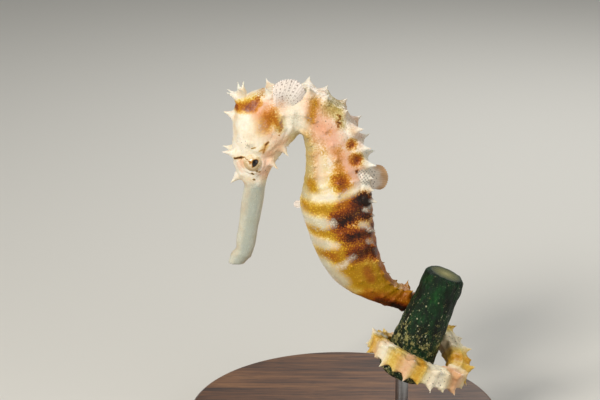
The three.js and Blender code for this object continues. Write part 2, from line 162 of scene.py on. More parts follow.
LAMPS = {
    # name: (place in mm, size in mm, watts, colour)
    "key": ((-230, -300, 330), 120, 1.8, "#FFFAF2"),
    "fill": ((300, -260, 160), 260, 0.35, "#F8F7F4"),
    "edge": ((120, 280, 300), 160, 0.7, "#FFFFFF"),
}
for name, (place, size, watts, colour) in LAMPS.items():
    lamp_data = bpy.data.lights.new(name, "AREA")
    lamp_data.size = size * METRES
    lamp_data.energy = watts
    lamp_data.color = linear(colour)[:3]
    lamp = bpy.data.objects.new(name, lamp_data)
    lamp.location = Vector(place) * METRES
    lamp.rotation_euler = (AIM - Vector(place)).to_track_quat("-Z", "Y").to_euler()
    bpy.context.scene.collection.objects.link(lamp)

world = bpy.data.worlds.new("studio")
world.use_nodes = True
world.node_tree.nodes["Background"].inputs["Color"].default_value = linear("#EAEBEA")
world.node_tree.nodes["Background"].inputs["Strength"].default_value = 0.24
bpy.context.scene.world = world
print("lamps:", ", ".join(LAMPS))

# %% [markdown]
# ## The body's line
# A seahorse is a tube that swells and bends: a pipe of a snout, a deep head, an arched neck, a
# trunk of eleven bony rings, and a tail of about thirty-five. It is described as a row of
# cross-sections. Down to the ninth ring of the tail they lie in the animal's plane of symmetry, each
# with a point on the back, a point on the belly and a half width. After that the tail winds round
# the stem, and each section is given by its turn round it. A smooth curve through the sections then
# gives any place in between.

# %% Cross-sections of the body
SECTIONS = {
    # name: (back x z), (belly x z), half width
    "mouth": ((-23.5, 38.2), (-20.4, 38.0), 1.15),
    "lip": ((-22.9, 40.2), (-18.9, 39.6), 1.35),
    "chin": ((-21.9, 41.4), (-18.9, 39.5), 1.45),
    "flare": ((-21.8, 43.4), (-18.1, 41.8), 1.55),
    "waist": ((-21.4, 45.6), (-17.5, 45.2), 1.50),
    "middle of snout": ((-21.0, 48.8), (-16.8, 48.7), 1.60),
    "rear of snout": ((-20.6, 52.3), (-16.2, 52.0), 1.85),
    "root of snout": ((-20.1, 54.8), (-15.9, 54.7), 2.10),
    "nostril": ((-21.3, 56.9), (-15.2, 57.1), 2.75),
    "eye": ((-22.0, 59.4), (-14.1, 59.2), 3.30),
    "brow": ((-22.3, 61.9), (-12.8, 61.2), 3.70),
    "cheek": ((-22.1, 64.8), (-11.4, 62.9), 4.15),
    "gill": ((-22.1, 68.1), (-10.3, 64.1), 4.50),
    "crown": ((-21.4, 71.4), (-9.8, 64.7), 4.55),
    "nape": ((-19.0, 73.4), (-9.5, 65.1), 4.25),
    "ring 1": ((-15.3, 74.6), (-9.2, 65.4), 4.10),
    "ring 2": ((-11.6, 75.2), (-8.9, 65.5), 4.25),
    "ring 3": ((-7.4, 75.0), (-8.55, 65.2), 4.50),
    "ring 4": ((-3.9, 73.7), (-8.2, 64.5), 4.80),
    "ring 5": ((-0.3, 70.9), (-7.9, 63.2), 5.10),
    "ring 6": ((2.1, 67.2), (-7.7, 61.5), 5.35),
    "ring 7": ((3.4, 63.5), (-7.7, 59.4), 5.55),
    "ring 8": ((4.4, 60.2), (-7.8, 57.3), 5.70),
    "ring 9": ((4.9, 57.5), (-8.1, 55.4), 5.80),
    "ring 10": ((5.1, 55.1), (-8.4, 53.6), 5.85),
    "ring 11": ((5.3, 52.8), (-8.8, 51.7), 5.90),
    "tail 1": ((5.5, 49.8), (-8.6, 49.2), 6.00),
    "tail 2": ((5.8, 46.6), (-7.7, 46.2), 6.05),
    "tail 3": ((6.3, 43.2), (-6.5, 42.6), 5.85),
    "tail 4": ((7.0, 40.0), (-4.7, 38.6), 5.40),
    "tail 5": ((8.2, 37.1), (-2.1, 34.9), 4.70),
    "tail 6": ((9.4, 34.9), (1.1, 32.4), 3.85),
    "tail 7": ((10.7, 33.6), (4.6, 30.7), 3.10),
    "tail 8": ((11.8, 33.0), (8.1, 29.3), 2.55),
    "tail 9": ((13.0, 32.6), (11.4, 28.3), 2.30),
}
WINDING = [
    # turn round the stem in degrees, distance from its axis, distance down it, half thickness
    (75, 7.35, 5.0, 2.25), (95, 7.10, 6.1, 2.20), (120, 7.25, 7.4, 2.15), (150, 8.50, 9.2, 2.10),
    (178, 9.90, 11.2, 2.05), (203, 10.0, 12.3, 2.10), (228, 8.70, 12.7, 2.15), (254, 7.70, 12.5, 2.15),
    (284, 7.55, 12.1, 2.08), (316, 7.40, 12.0, 1.92), (348, 7.20, 12.3, 1.70), (380, 6.95, 12.7, 1.45),
    (415, 6.65, 12.9, 1.15), (450, 6.35, 12.8, 0.85), (480, 6.05, 12.6, 0.55),
]
STEM_TOP = np.array([17.88, -6.5, 32.6])        # on the stem's axis, where the tail first meets it
STEM_DOWN = np.array([-0.368, 0, -0.93]) / math.hypot(0.368, 0.93)
STEM_LEFT = np.array([STEM_DOWN[2], 0, -STEM_DOWN[0]])
ACROSS = np.array([0.0, 1.0, 0.0])              # from the animal's left to its right

centres, backs, sizes = [], [], []
for back, belly, half_width in SECTIONS.values():
    top, bottom = np.array([back[0], 0, back[1]]), np.array([belly[0], 0, belly[1]])
    depth = np.linalg.norm(top - bottom)
    centres.append((top + bottom) / 2)
    backs.append((top - bottom) / depth)
    sizes.append((depth / 2, half_width))
last_flat = backs[-1]
for turn, distance, down, half in WINDING:
    out = STEM_LEFT * math.cos(math.radians(turn)) + ACROSS * math.sin(math.radians(turn))
    twist = np.clip((turn - 55) / 70, 0, 1)
    twist = twist * twist * (3 - 2 * twist)
    centres.append(STEM_TOP + STEM_DOWN * down + out * distance)
    facing = last_flat * (1 - twist) + out * twist
    backs.append(facing / np.linalg.norm(facing))
    sizes.append((half, half * 0.96))
centres, backs, sizes = np.array(centres), np.array(backs), np.array(sizes)
LAST = len(centres) - 1
PLACE = {name: index for index, name in enumerate(SECTIONS)}
print("sections:", len(centres))

# %% [markdown]
# ## From sections to a surface
# Two numbers say where on the body a point is: its place along the line, counted in sections, and
# its angle round it, 0 on the back, 90 on the right side and -90 on the left. The surface swells a
# little at each bony ring and along the seven ridges that join the spines, and sinks in the plates
# between them. On the male's pouch the skin is stretched smooth, so the rings fade out there.

# %% The body's frame at any place
def spline(points, places):
    """A smooth curve through points, one point to a whole number of places."""
    p = np.clip(places, 0, len(points) - 1)
    i = np.minimum(p.astype(int), len(points) - 2)
    u = (p - i)[:, None]
    a, b = points[i], points[i + 1]
    before, after = points[np.maximum(i - 1, 0)], points[np.minimum(i + 2, len(points) - 1)]
    return 0.5 * (2 * a + (b - before) * u + (2 * before - 5 * a + 4 * b - after) * u ** 2
                  + (3 * a - before - 3 * b + after) * u ** 3)


def unit(vectors):
    return vectors / np.maximum(np.linalg.norm(vectors, axis=-1, keepdims=True), 1e-9)


def spokes(first, second, count):
    """Directions evenly round a circle, from the first one and on towards the second."""
    turns = 2 * math.pi * np.arange(count) / count
    return np.outer(np.cos(turns), first) + np.outer(np.sin(turns), second)


def body_frame(places):
    """Centre, back, side and along directions, and the half depth and half width."""
    places = np.atleast_1d(np.asarray(places, float))
    step = 0.02
    ahead = spline(centres, places + step) - spline(centres, places - step)
    back = unit(spline(backs, places))
    side = unit(np.cross(back, ahead))
    along = unit(np.cross(side, back))
    size = spline(sizes, places)
    return spline(centres, places), back, side, along, size[:, 0], size[:, 1]


# Rings are one to a section down to the tail's ninth; beyond it they get closer as the tail thins.
TAIL_RINGS_FLAT = 20                             # the ring at the tail's ninth section
RING_STEP_START, RING_STEP_END = 2.75, 1.75      # mm from ring to ring
fine_places = np.linspace(PLACE["tail 9"], LAST, 400)
fine_points = spline(centres, fine_places)
arc = np.concatenate([[0], np.cumsum(np.linalg.norm(np.diff(fine_points, axis=0), axis=1))])
ring_step = RING_STEP_START + (RING_STEP_END - RING_STEP_START) * arc / arc[-1]
fine_rings = TAIL_RINGS_FLAT + np.concatenate([[0], np.cumsum(np.diff(arc) / ring_step[1:])])
ring_places = np.concatenate([[0, PLACE["tail 9"] - 1e-6], fine_places])
ring_numbers = np.concatenate([[1 - PLACE["ring 1"], TAIL_RINGS_FLAT - 1e-6], fine_rings])
LAST_RING = ring_numbers[-1]
print(f"the wound tail is {arc[-1]:.0f} mm long and ends at ring {LAST_RING:.1f}")


def ring_at(places):
    return np.interp(places, ring_places, ring_numbers)


def place_of_ring(rings):
    return np.interp(rings, ring_numbers, ring_places)


def ramp(value, low, high):
    """0 below low, 1 above high and smooth between, whichever of the two is larger."""
    t = np.clip((np.asarray(value, float) - low) / (high - low), 0, 1)
    return t * t * (3 - 2 * t)

# %% Relief of the rings, ridges and gill cover
RIDGE_ANGLES = (36, 88, 132, 180)                # degrees from the back, on both sides
RIDGE_WIDTH, HOOP_WIDTH = 9.0, 0.2               # degrees; share of a ring
RELIEF, PLATE_SINK, HOOP_SHARE = 0.34, 0.45, 0.75    # height in mm; shares of it
CREST = {"height": 0.22, "width": 14}            # along the middle of the nose, in mm and degrees
GILL_COVER = {"centre": (-15.6, 67.6), "length": 5.6, "height": 3.7, "tilt": 62, "rise": 0.42}
RIB_FOCUS, RIBS_PER_TURN, RIB_HEIGHT = (-17.6, 61.6), 30, 0.05
HEAD_RIDGES = [
    # line of (x, z) points, half width, height; the bone under the thin skin of the head
    ([(-19.7, 63.0), (-20.6, 66.2), (-20.8, 70.6)], 0.75, 0.34),            # brow to coronet
    ([(-17.9, 64.6), (-18.4, 67.2), (-18.2, 70.0)], 0.9, -0.22),            # hollow behind it
    ([(-16.4, 62.2), (-14.2, 62.6), (-12.4, 64.6), (-11.0, 67.4)], 0.6, 0.26),     # lower edge of the cheek
    ([(-17.6, 57.8), (-15.4, 59.4), (-13.4, 61.6)], 0.55, 0.24),            # below the eye to the throat
    ([(-20.6, 57.2), (-21.2, 60.6)], 0.6, 0.22),                            # nose to brow
    ([(-18.6, 72.8), (-15.2, 74.0), (-12.6, 73.4)], 0.7, 0.26),             # coronet to nape
    ([(-11.4, 72.6), (-10.4, 70.2), (-10.8, 67.6)], 0.55, 0.3),             # edge of the shoulder girdle
]


def gill_cover(x, z):
    """1 on the gill cover and 0 off it, as seen from the side."""
    tilt = math.radians(GILL_COVER["tilt"])
    dx, dz = x - GILL_COVER["centre"][0], z - GILL_COVER["centre"][1]
    u = (dx * math.cos(tilt) + dz * math.sin(tilt)) / GILL_COVER["length"]
    v = (-dx * math.sin(tilt) + dz * math.cos(tilt)) / GILL_COVER["height"]
    return ramp(np.hypot(u, v), 1.08, 0.86)


def gill_ribs(x, z):
    """Fine ribs that fan out over the gill cover from behind the eye."""
    dx, dz = x - RIB_FOCUS[0], z - RIB_FOCUS[1]
    return np.cos(RIBS_PER_TURN * np.arctan2(dz, dx)) * ramp(np.hypot(dx, dz), 1.2, 3.0)


def distance_to(line, x, z):
    """Distance in mm, seen from the side, from each place to a line of (x, z) points."""
    line = np.array(line, float).reshape(-1, 2)
    distance = np.full(np.shape(x), 1e9)
    for start, end in zip(line, line[1:] if len(line) > 1 else line):
        run = end - start
        t = np.clip(((x - start[0]) * run[0] + (z - start[1]) * run[1]) / max(run @ run, 1e-9), 0, 1)
        distance = np.minimum(distance, np.hypot(x - start[0] - t * run[0], z - start[1] - t * run[1]))
    return distance


def relief(places, angles, points):
    """How far the skin stands out from the plain section there, in mm."""
    rings = ring_at(places)
    turn = np.abs(angles)
    ridge = np.max([np.exp(-((turn - a) / RIDGE_WIDTH) ** 2) for a in RIDGE_ANGLES], axis=0)
    hoop = np.exp(-(((rings - np.round(rings)) / HOOP_WIDTH) ** 2))
    plates = np.maximum(ridge, HOOP_SHARE * hoop) - PLATE_SINK
    height = RELIEF * ramp(rings, 0.2, 1.6) * ramp(places, LAST, LAST - 2)
    pouch = ramp(rings, 11.3, 12.6) * ramp(rings, 19.5, 17.5)
    height = height * (1 - pouch * (0.35 + 0.45 * ramp(turn, 60, 110)))
    sideways = np.abs(np.sin(np.radians(angles)))
    height = height * (1 - 0.45 * ramp(sideways, 0.5, 0.95) * ramp(rings, 20, 18))
    head = ramp(rings, 0.9, 0.2)
    x, z = points[:, 0], points[:, 2]
    cover = gill_cover(x, z) * (GILL_COVER["rise"] + RIB_HEIGHT * gill_ribs(x, z))
    cover = cover * ramp(sideways, 0.3, 0.8) * head
    crest = CREST["height"] * np.exp(-((turn / CREST["width"]) ** 2)) * head
    crest = crest * ramp(places, PLACE["nostril"] - 1, PLACE["eye"])
    bone = sum(rise * np.exp(-((distance_to(line, x, z) / width) ** 2)) for line, width, rise in HEAD_RIDGES)
    return height * plates + cover + crest + bone * ramp(sideways, 0.1, 0.5) * ramp(rings, 2.2, 1.2)


def surface(places, angles, raised=True):
    """Points on the body; the section is rounder on the head and squarer on the tail."""
    places, angles = np.broadcast_arrays(np.atleast_1d(places) * 1.0, np.atleast_1d(angles) * 1.0)
    centre, back, side, _, depth, width = body_frame(places)
    fullness = np.interp(places, [0, PLACE["nape"], PLACE["ring 6"], PLACE["tail 7"], LAST],
                         [2.1, 2.25, 2.35, 2.45, 3.0])
    c, s = np.cos(np.radians(angles)), np.sin(np.radians(angles))
    reach = (np.abs(c) ** fullness + np.abs(s) ** fullness) ** (-1 / fullness)
    across = back * (depth * c * reach)[:, None] + side * (width * s * reach)[:, None]
    points = centre + across
    if raised:
        points = points + unit(across) * relief(places, angles, points)[:, None]
    return points


print("half depth and half width at the pouch:", np.round(np.ravel(body_frame(PLACE["tail 1"])[4:]), 2), "mm")

# %% [markdown]
# ## A mesh for the flesh
# All of the soft body becomes one skin, so that no seam shows. The simplest way is to make each
# part as a closed mesh that sinks into its neighbour, join them, and let a voxel remesh melt them
# together, as a modeller's clay would be pressed on. The tube of the body comes first. At the mouth
# it turns inwards, so the mouth is a real opening.

# %% The tube of the body
flesh_points, flesh_faces = [], []


def add_flesh(points, faces):
    start = sum(len(block) for block in flesh_points)
    flesh_points.append(np.asarray(points, float))
    flesh_faces.extend([tuple(start + corner for corner in face) for face in faces])


def tube_faces(rows, around):
    """Quads from row to row of points round a tube, and a flat face to close each end."""
    faces = []
    for row in range(rows - 1):
        a, b = row * around, (row + 1) * around
        for i in range(around):
            j = (i + 1) % around
            faces.append((a + i, a + j, b + j, b + i))
    faces.append(tuple(reversed(range(around))))
    faces.append(tuple(range((rows - 1) * around, rows * around)))
    return faces


AROUND = 96
STEPS_PER_SECTION = 12
angles = np.linspace(-180, 180, AROUND, endpoint=False)
MOUTH = [(1.5, 0.42), (0.5, 0.55), (0.14, 0.74), (0.0, 0.97)]    # place inwards, share of the section
rows = []
for place, share in MOUTH:
    centre = body_frame(place)[0]
    rows.append(centre + (surface(np.full(AROUND, place), angles) - centre) * share)
for place in np.linspace(0, LAST, LAST * STEPS_PER_SECTION + 1):
    rows.append(surface(np.full(AROUND, place), angles))
add_flesh(np.concatenate(rows), tube_faces(len(rows), AROUND))
print("tube rows:", len(rows))

# %% [markdown]
# ## Spines
# A thorny seahorse carries a long sharp spine at each crossing of a ring and an upper ridge, and
# lower ones along its flanks. Each is a cone whose foot flares into the skin and whose tip bends a
# little towards the tail. The same function makes those of the head.

# %% A spine, and the rows along the body
SPINE_SIDES = 12
SPINE_LEVELS = np.array([-0.35, 0.0, 0.12, 0.28, 0.46, 0.64, 0.82, 0.94, 1.0])
SPINE_TIP = 0.12


def add_spine(foot, direction, length, radius, bend=(0, 0, 0)):
    """A cone with a flared foot, which starts below the skin; bend shifts its tip, in lengths."""
    foot, direction, bend = (np.asarray(v, float) for v in (foot, direction, bend))
    direction = unit(direction)
    across = unit(np.cross(direction, (0.31, 0.9, 0.2)))
    circle = spokes(across, np.cross(direction, across), SPINE_SIDES)
    points = []
    for level in SPINE_LEVELS:
        rise = max(level, 0)
        width = radius * (0.9 * (1 - rise) ** 3 + 0.4 * (1 - rise)) + SPINE_TIP
        width *= 0.55 if level == 1 else 1
        points.extend(foot + direction * length * level + bend * length * rise ** 2 + width * circle)
    add_flesh(points, tube_faces(len(SPINE_LEVELS), SPINE_SIDES))


def add_spine_pair(ring, angle, length, radius, bend=0.12):
    """A spine on each side of a ring, at an angle from the back in degrees."""
    place = place_of_ring(ring)
    centre, back, side, along, _, _ = (v[0] for v in body_frame(place))
    for sign in (-1, 1):
        foot = surface(place, sign * angle)[0]
        out = back * math.cos(math.radians(angle)) + side * sign * math.sin(math.radians(angle))
        direction = 0.6 * out + 0.4 * unit(foot - centre)
        add_spine(foot, direction, length, radius, along * bend)


BACK_ANGLE, SIDE_ANGLE, BELLY_ANGLE = RIDGE_ANGLES[:3]
TAIL_BACK_ANGLE, TAIL_BELLY_ANGLE = 42, 138                               # on the wound tail
BACK_LENGTHS = (2.2, 1.2, 2.1, 1.7, 1.9, 2.8, 3.0, 3.0, 1.8, 1.8, 2.2)     # rings 1 to 11
for ring, length in enumerate(BACK_LENGTHS, start=1):
    add_spine_pair(ring, BACK_ANGLE, length, (0.8 if ring > 2 else 0.55) + 0.12 * length)
    add_spine_pair(ring, SIDE_ANGLE, 0.45, 0.5)
    if 2 < ring < 9:
        add_spine_pair(ring, BELLY_ANGLE, 0.55, 0.4)
for ring in range(12, 20):
    shrink = 0.84 ** (ring - 12)
    add_spine_pair(ring, BACK_ANGLE, 1.6 * shrink, 0.7 * shrink)
    add_spine_pair(ring, SIDE_ANGLE, 0.35, 0.35)
for ring in range(20, int(LAST_RING)):
    thickness = body_frame(place_of_ring(ring))[4][0] / 2.2
    length = (1.7 if ring % 2 == 0 else 0.8) * thickness
    add_spine_pair(ring, TAIL_BACK_ANGLE, length, 0.6 * thickness)
    add_spine_pair(ring, TAIL_BELLY_ANGLE, 0.35 * thickness, 0.4 * thickness)
print("spines so far:", len(flesh_points) - 1)

# %% [markdown]
# ## The head
# The head is where people look first. It has a rim of skin round each eye, a spine on the nose, one
# before and one behind each eye, one at the brow, two below each cheek, and the coronet: a little
# crown on a stalk with five sharp points. The eyes themselves stay separate, so here only their
# sockets and rims are made.

# %% Eye rims, head spines and coronet
EYE = {"x": -18.3, "y": 2.75, "z": 60.4, "radius": 1.95}
ORBIT = {"y": 1.4, "radius": 2.7}
RIM = {"radius": 2.08, "thickness": 0.27, "y": 3.28}


def add_ball(centre, radius, around=32, down=16):
    up, level = np.array([0, 0, 1.0]), spokes((1, 0, 0), ACROSS, around)
    rings = [up * math.cos(polar) + level * math.sin(polar) for polar in math.pi * np.arange(1, down) / down]
    add_flesh(centre + radius * np.concatenate(rings), tube_faces(down - 1, around))


def add_hoop(centre, axis, radius, thickness, around=64, sides=14):
    """A round wire bent to a circle."""
    first = unit(np.cross(axis, (0.2, 0.1, 0.97)))
    points, faces = [], []
    for i, out in enumerate(spokes(first, np.cross(axis, first), around)):
        points.extend(centre + out * radius + thickness * spokes(out, axis, sides))
        a, b = i * sides, ((i + 1) % around) * sides
        faces.extend([(a + j, b + j, b + (j + 1) % sides, a + (j + 1) % sides) for j in range(sides)])
    add_flesh(points, faces)


for side in (-1, 1):
    add_ball(np.array([EYE["x"], side * ORBIT["y"], EYE["z"]]), ORBIT["radius"])
    add_hoop(np.array([EYE["x"], side * RIM["y"], EYE["z"]]), side * ACROSS, RIM["radius"], RIM["thickness"])

HEAD_SPINES = [
    # foot, tip, radius; one that stands off the middle has a twin on the other side
    ((-21.3, 0, 56.6), (-22.9, 0, 55.0), 0.75),                 # nose
    ((-21.8, 1.5, 61.7), (-24.5, 2.1, 62.2), 1.05),             # before the eye
    ((-22.0, 0, 69.2), (-24.2, 0, 69.9), 0.95),                 # brow
    ((-12.6, 2.6, 63.2), (-11.1, 3.6, 61.5), 0.85),             # below the cheek, at the gills
    ((-14.7, 2.7, 60.2), (-13.2, 3.5, 58.9), 0.65),             # below the cheek, at the throat
    ((-18.8, 4.0, 64.4), (-19.6, 5.3, 64.6), 0.70),             # behind the eye
]
for foot, tip, radius in HEAD_SPINES:
    for sign in ((-1, 1) if foot[1] else (1,)):
        start, end = (np.array([x, sign * y, z]) for x, y, z in (foot, tip))
        add_spine(start, end - start, np.linalg.norm(end - start), radius)

CROWN_FOOT = np.array([-20.4, 0, 72.5])
CROWN_AXIS = unit(np.array([-0.52, 0, 0.85]))
CROWN = {"radius": 1.35, "height": 1.5, "points": 5, "reach": 2.0, "sides": 24}
crown_front = np.cross(ACROSS, CROWN_AXIS)
stalk = []
for level, share in ((-1.2, 1.35), (0.2, 1.1), (0.75, 0.95), (1.0, 1.0), (1.0, 0.6), (0.8, 0.45)):
    middle = CROWN_FOOT + CROWN_AXIS * CROWN["height"] * level
    stalk.append(middle + CROWN["radius"] * share * spokes(crown_front, ACROSS, CROWN["sides"]))
add_flesh(np.concatenate(stalk), tube_faces(len(stalk), CROWN["sides"]))
for out in spokes(crown_front, ACROSS, CROWN["points"]):
    foot = CROWN_FOOT + CROWN_AXIS * CROWN["height"] * 0.85 + out * CROWN["radius"] * 0.7
    add_spine(foot, out * 0.75 + CROWN_AXIS, CROWN["reach"], 0.5)
print("flesh parts:", len(flesh_points))

# %% [markdown]
# ## Melting it into one skin
# A voxel remesh lays a grid of cubes over everything and wraps one closed surface round it. Cubes of
# a fifth of a millimetre keep the spines' tips and give about 130,000 faces. The surface comes out
# stepped, so it is then smoothed by Taubin's method, which moves each point towards its neighbours
# and a little more back again, and so doesn't shrink the spines.

# %% Remesh and smooth
VOXEL = 0.2                  # mm
SMOOTHING_ROUNDS = 5


def melted(points, faces, voxel):
    """One closed surface round all of the given ones, as its points and its quads."""
    mesh = bpy.data.meshes.new("clay")
    mesh.from_pydata(np.asarray(points).tolist(), [], faces)
    clay = bpy.data.objects.new("clay", mesh)
    bpy.context.scene.collection.objects.link(clay)
    modifier = clay.modifiers.new("melt", "REMESH")
    modifier.mode = "VOXEL"
    modifier.voxel_size = voxel
    result = bpy.data.meshes.new_from_object(clay.evaluated_get(bpy.context.evaluated_depsgraph_get()))
    bpy.data.objects.remove(clay)
    count = len(result.vertices)
    coordinates = np.zeros(count * 3)
    result.vertices.foreach_get("co", coordinates)
    quads = [tuple(polygon.vertices) for polygon in result.polygons]
    bpy.data.meshes.remove(result)
    return coordinates.reshape(-1, 3), quads


def edges_of(faces):
    pairs = {tuple(sorted(pair)) for face in faces for pair in zip(face, face[1:] + face[:1])}
    return np.array(sorted(pairs))


def smoothed(points, faces, rounds, forth=0.5, back_again=-0.52):
    """The points after Taubin's smoothing: towards their neighbours' middle, then away from it."""
    edges = edges_of(faces)
    degree = np.bincount(edges.ravel(), minlength=len(points))[:, None]
    for _ in range(rounds):
        for amount in (forth, back_again):
            total = np.zeros_like(points)
            for axis in range(3):
                total[:, axis] = (np.bincount(edges[:, 0], points[edges[:, 1], axis], len(points))
                                  + np.bincount(edges[:, 1], points[edges[:, 0], axis], len(points)))
            points = points + amount * (total / degree - points)
    return points


skin_points, skin_faces = melted(np.concatenate(flesh_points), flesh_faces, VOXEL)
skin_points = smoothed(skin_points, skin_faces, SMOOTHING_ROUNDS)
print("skin:", len(skin_points), "points,", len(skin_faces), "faces")

# %% [markdown]
# ## Knowing where each point of the skin is
# Markings follow the body, so each point of the skin is told its ring and its angle: those of the
# nearest point on the plain tube. A k-d tree finds it quickly.

# %% Ring and angle of every point
MAP_STEPS, MAP_AROUND = LAST * 10 + 1, 48
map_places = np.repeat(np.linspace(0, LAST, MAP_STEPS), MAP_AROUND)
map_angles = np.tile(np.linspace(-180, 180, MAP_AROUND, endpoint=False), MAP_STEPS)
map_points = surface(map_places, map_angles, raised=False)
tree_of_places = kdtree.KDTree(len(map_points))
for index, point in enumerate(map_points):
    tree_of_places.insert(point, index)
tree_of_places.balance()
nearest = [tree_of_places.find(point) for point in skin_points]
nearest_index = np.array([found[1] for found in nearest])
stand_off = np.array([found[2] for found in nearest])
skin_places, skin_angles = map_places[nearest_index], map_angles[nearest_index]
skin_rings = ring_at(skin_places)
flat_body = skin_places < PLACE["tail 9"] + 0.5
print("farthest point from the tube:", round(stand_off.max(), 2), "mm")

# %% [markdown]
# ## Fine relief
# Live skin is never smooth. Three sizes of noise push each point out or in by a few hundredths of a
# millimetre, less on the stretched pouch and the smooth snout than elsewhere.

# %% Push the skin by noise
BUMPS = ((0.09, 1.6), (0.06, 0.7), (0.035, 0.42))     # height and width in mm


def normals_of(points, faces):
    corners = np.array(faces)
    a, b = points[corners[:, 2]] - points[corners[:, 0]], points[corners[:, 3]] - points[corners[:, 1]]
    face_normals = np.cross(a, b)
    total = np.zeros_like(points)
    for k in range(4):
        for axis in range(3):
            total[:, axis] += np.bincount(corners[:, k], face_normals[:, axis], len(points))
    return unit(total)


def bumps(points, size, seed):
    """Smooth noise from -1 to 1 with features of this size in mm; a seed picks another sample."""
    offset = Vector((seed * 7.3, seed * 3.1, seed * 5.7))
    return np.array([noise.noise(Vector(point) / size + offset) for point in points])


pouch_skin = ramp(skin_rings, 11, 12.5) * ramp(skin_rings, 19.5, 18) * ramp(np.abs(skin_angles), 60, 100)
snout_skin = ramp(skin_places, PLACE["nostril"], PLACE["rear of snout"])
roughness = 1 - 0.75 * pouch_skin - 0.85 * snout_skin
push = np.zeros(len(skin_points))
for seed, (height, width) in enumerate(BUMPS, start=1):
    push += roughness * height * bumps(skin_points, width, seed)
skin_points = skin_points + normals_of(skin_points, skin_faces) * push[:, None]
print("noise moves the skin by up to", round(np.abs(push).max(), 3), "mm")

# %% [markdown]
# ## Markings
# The pattern is painted as strokes, the way a model painter would lay them on: each stroke is a line
# of a few points on the animal's side, in millimetres, with a brush radius and a strength. Both
# flanks get the same strokes. The shader later frays their edges with noise. The wound tail is
# painted by ring number instead, because its bands go round it.

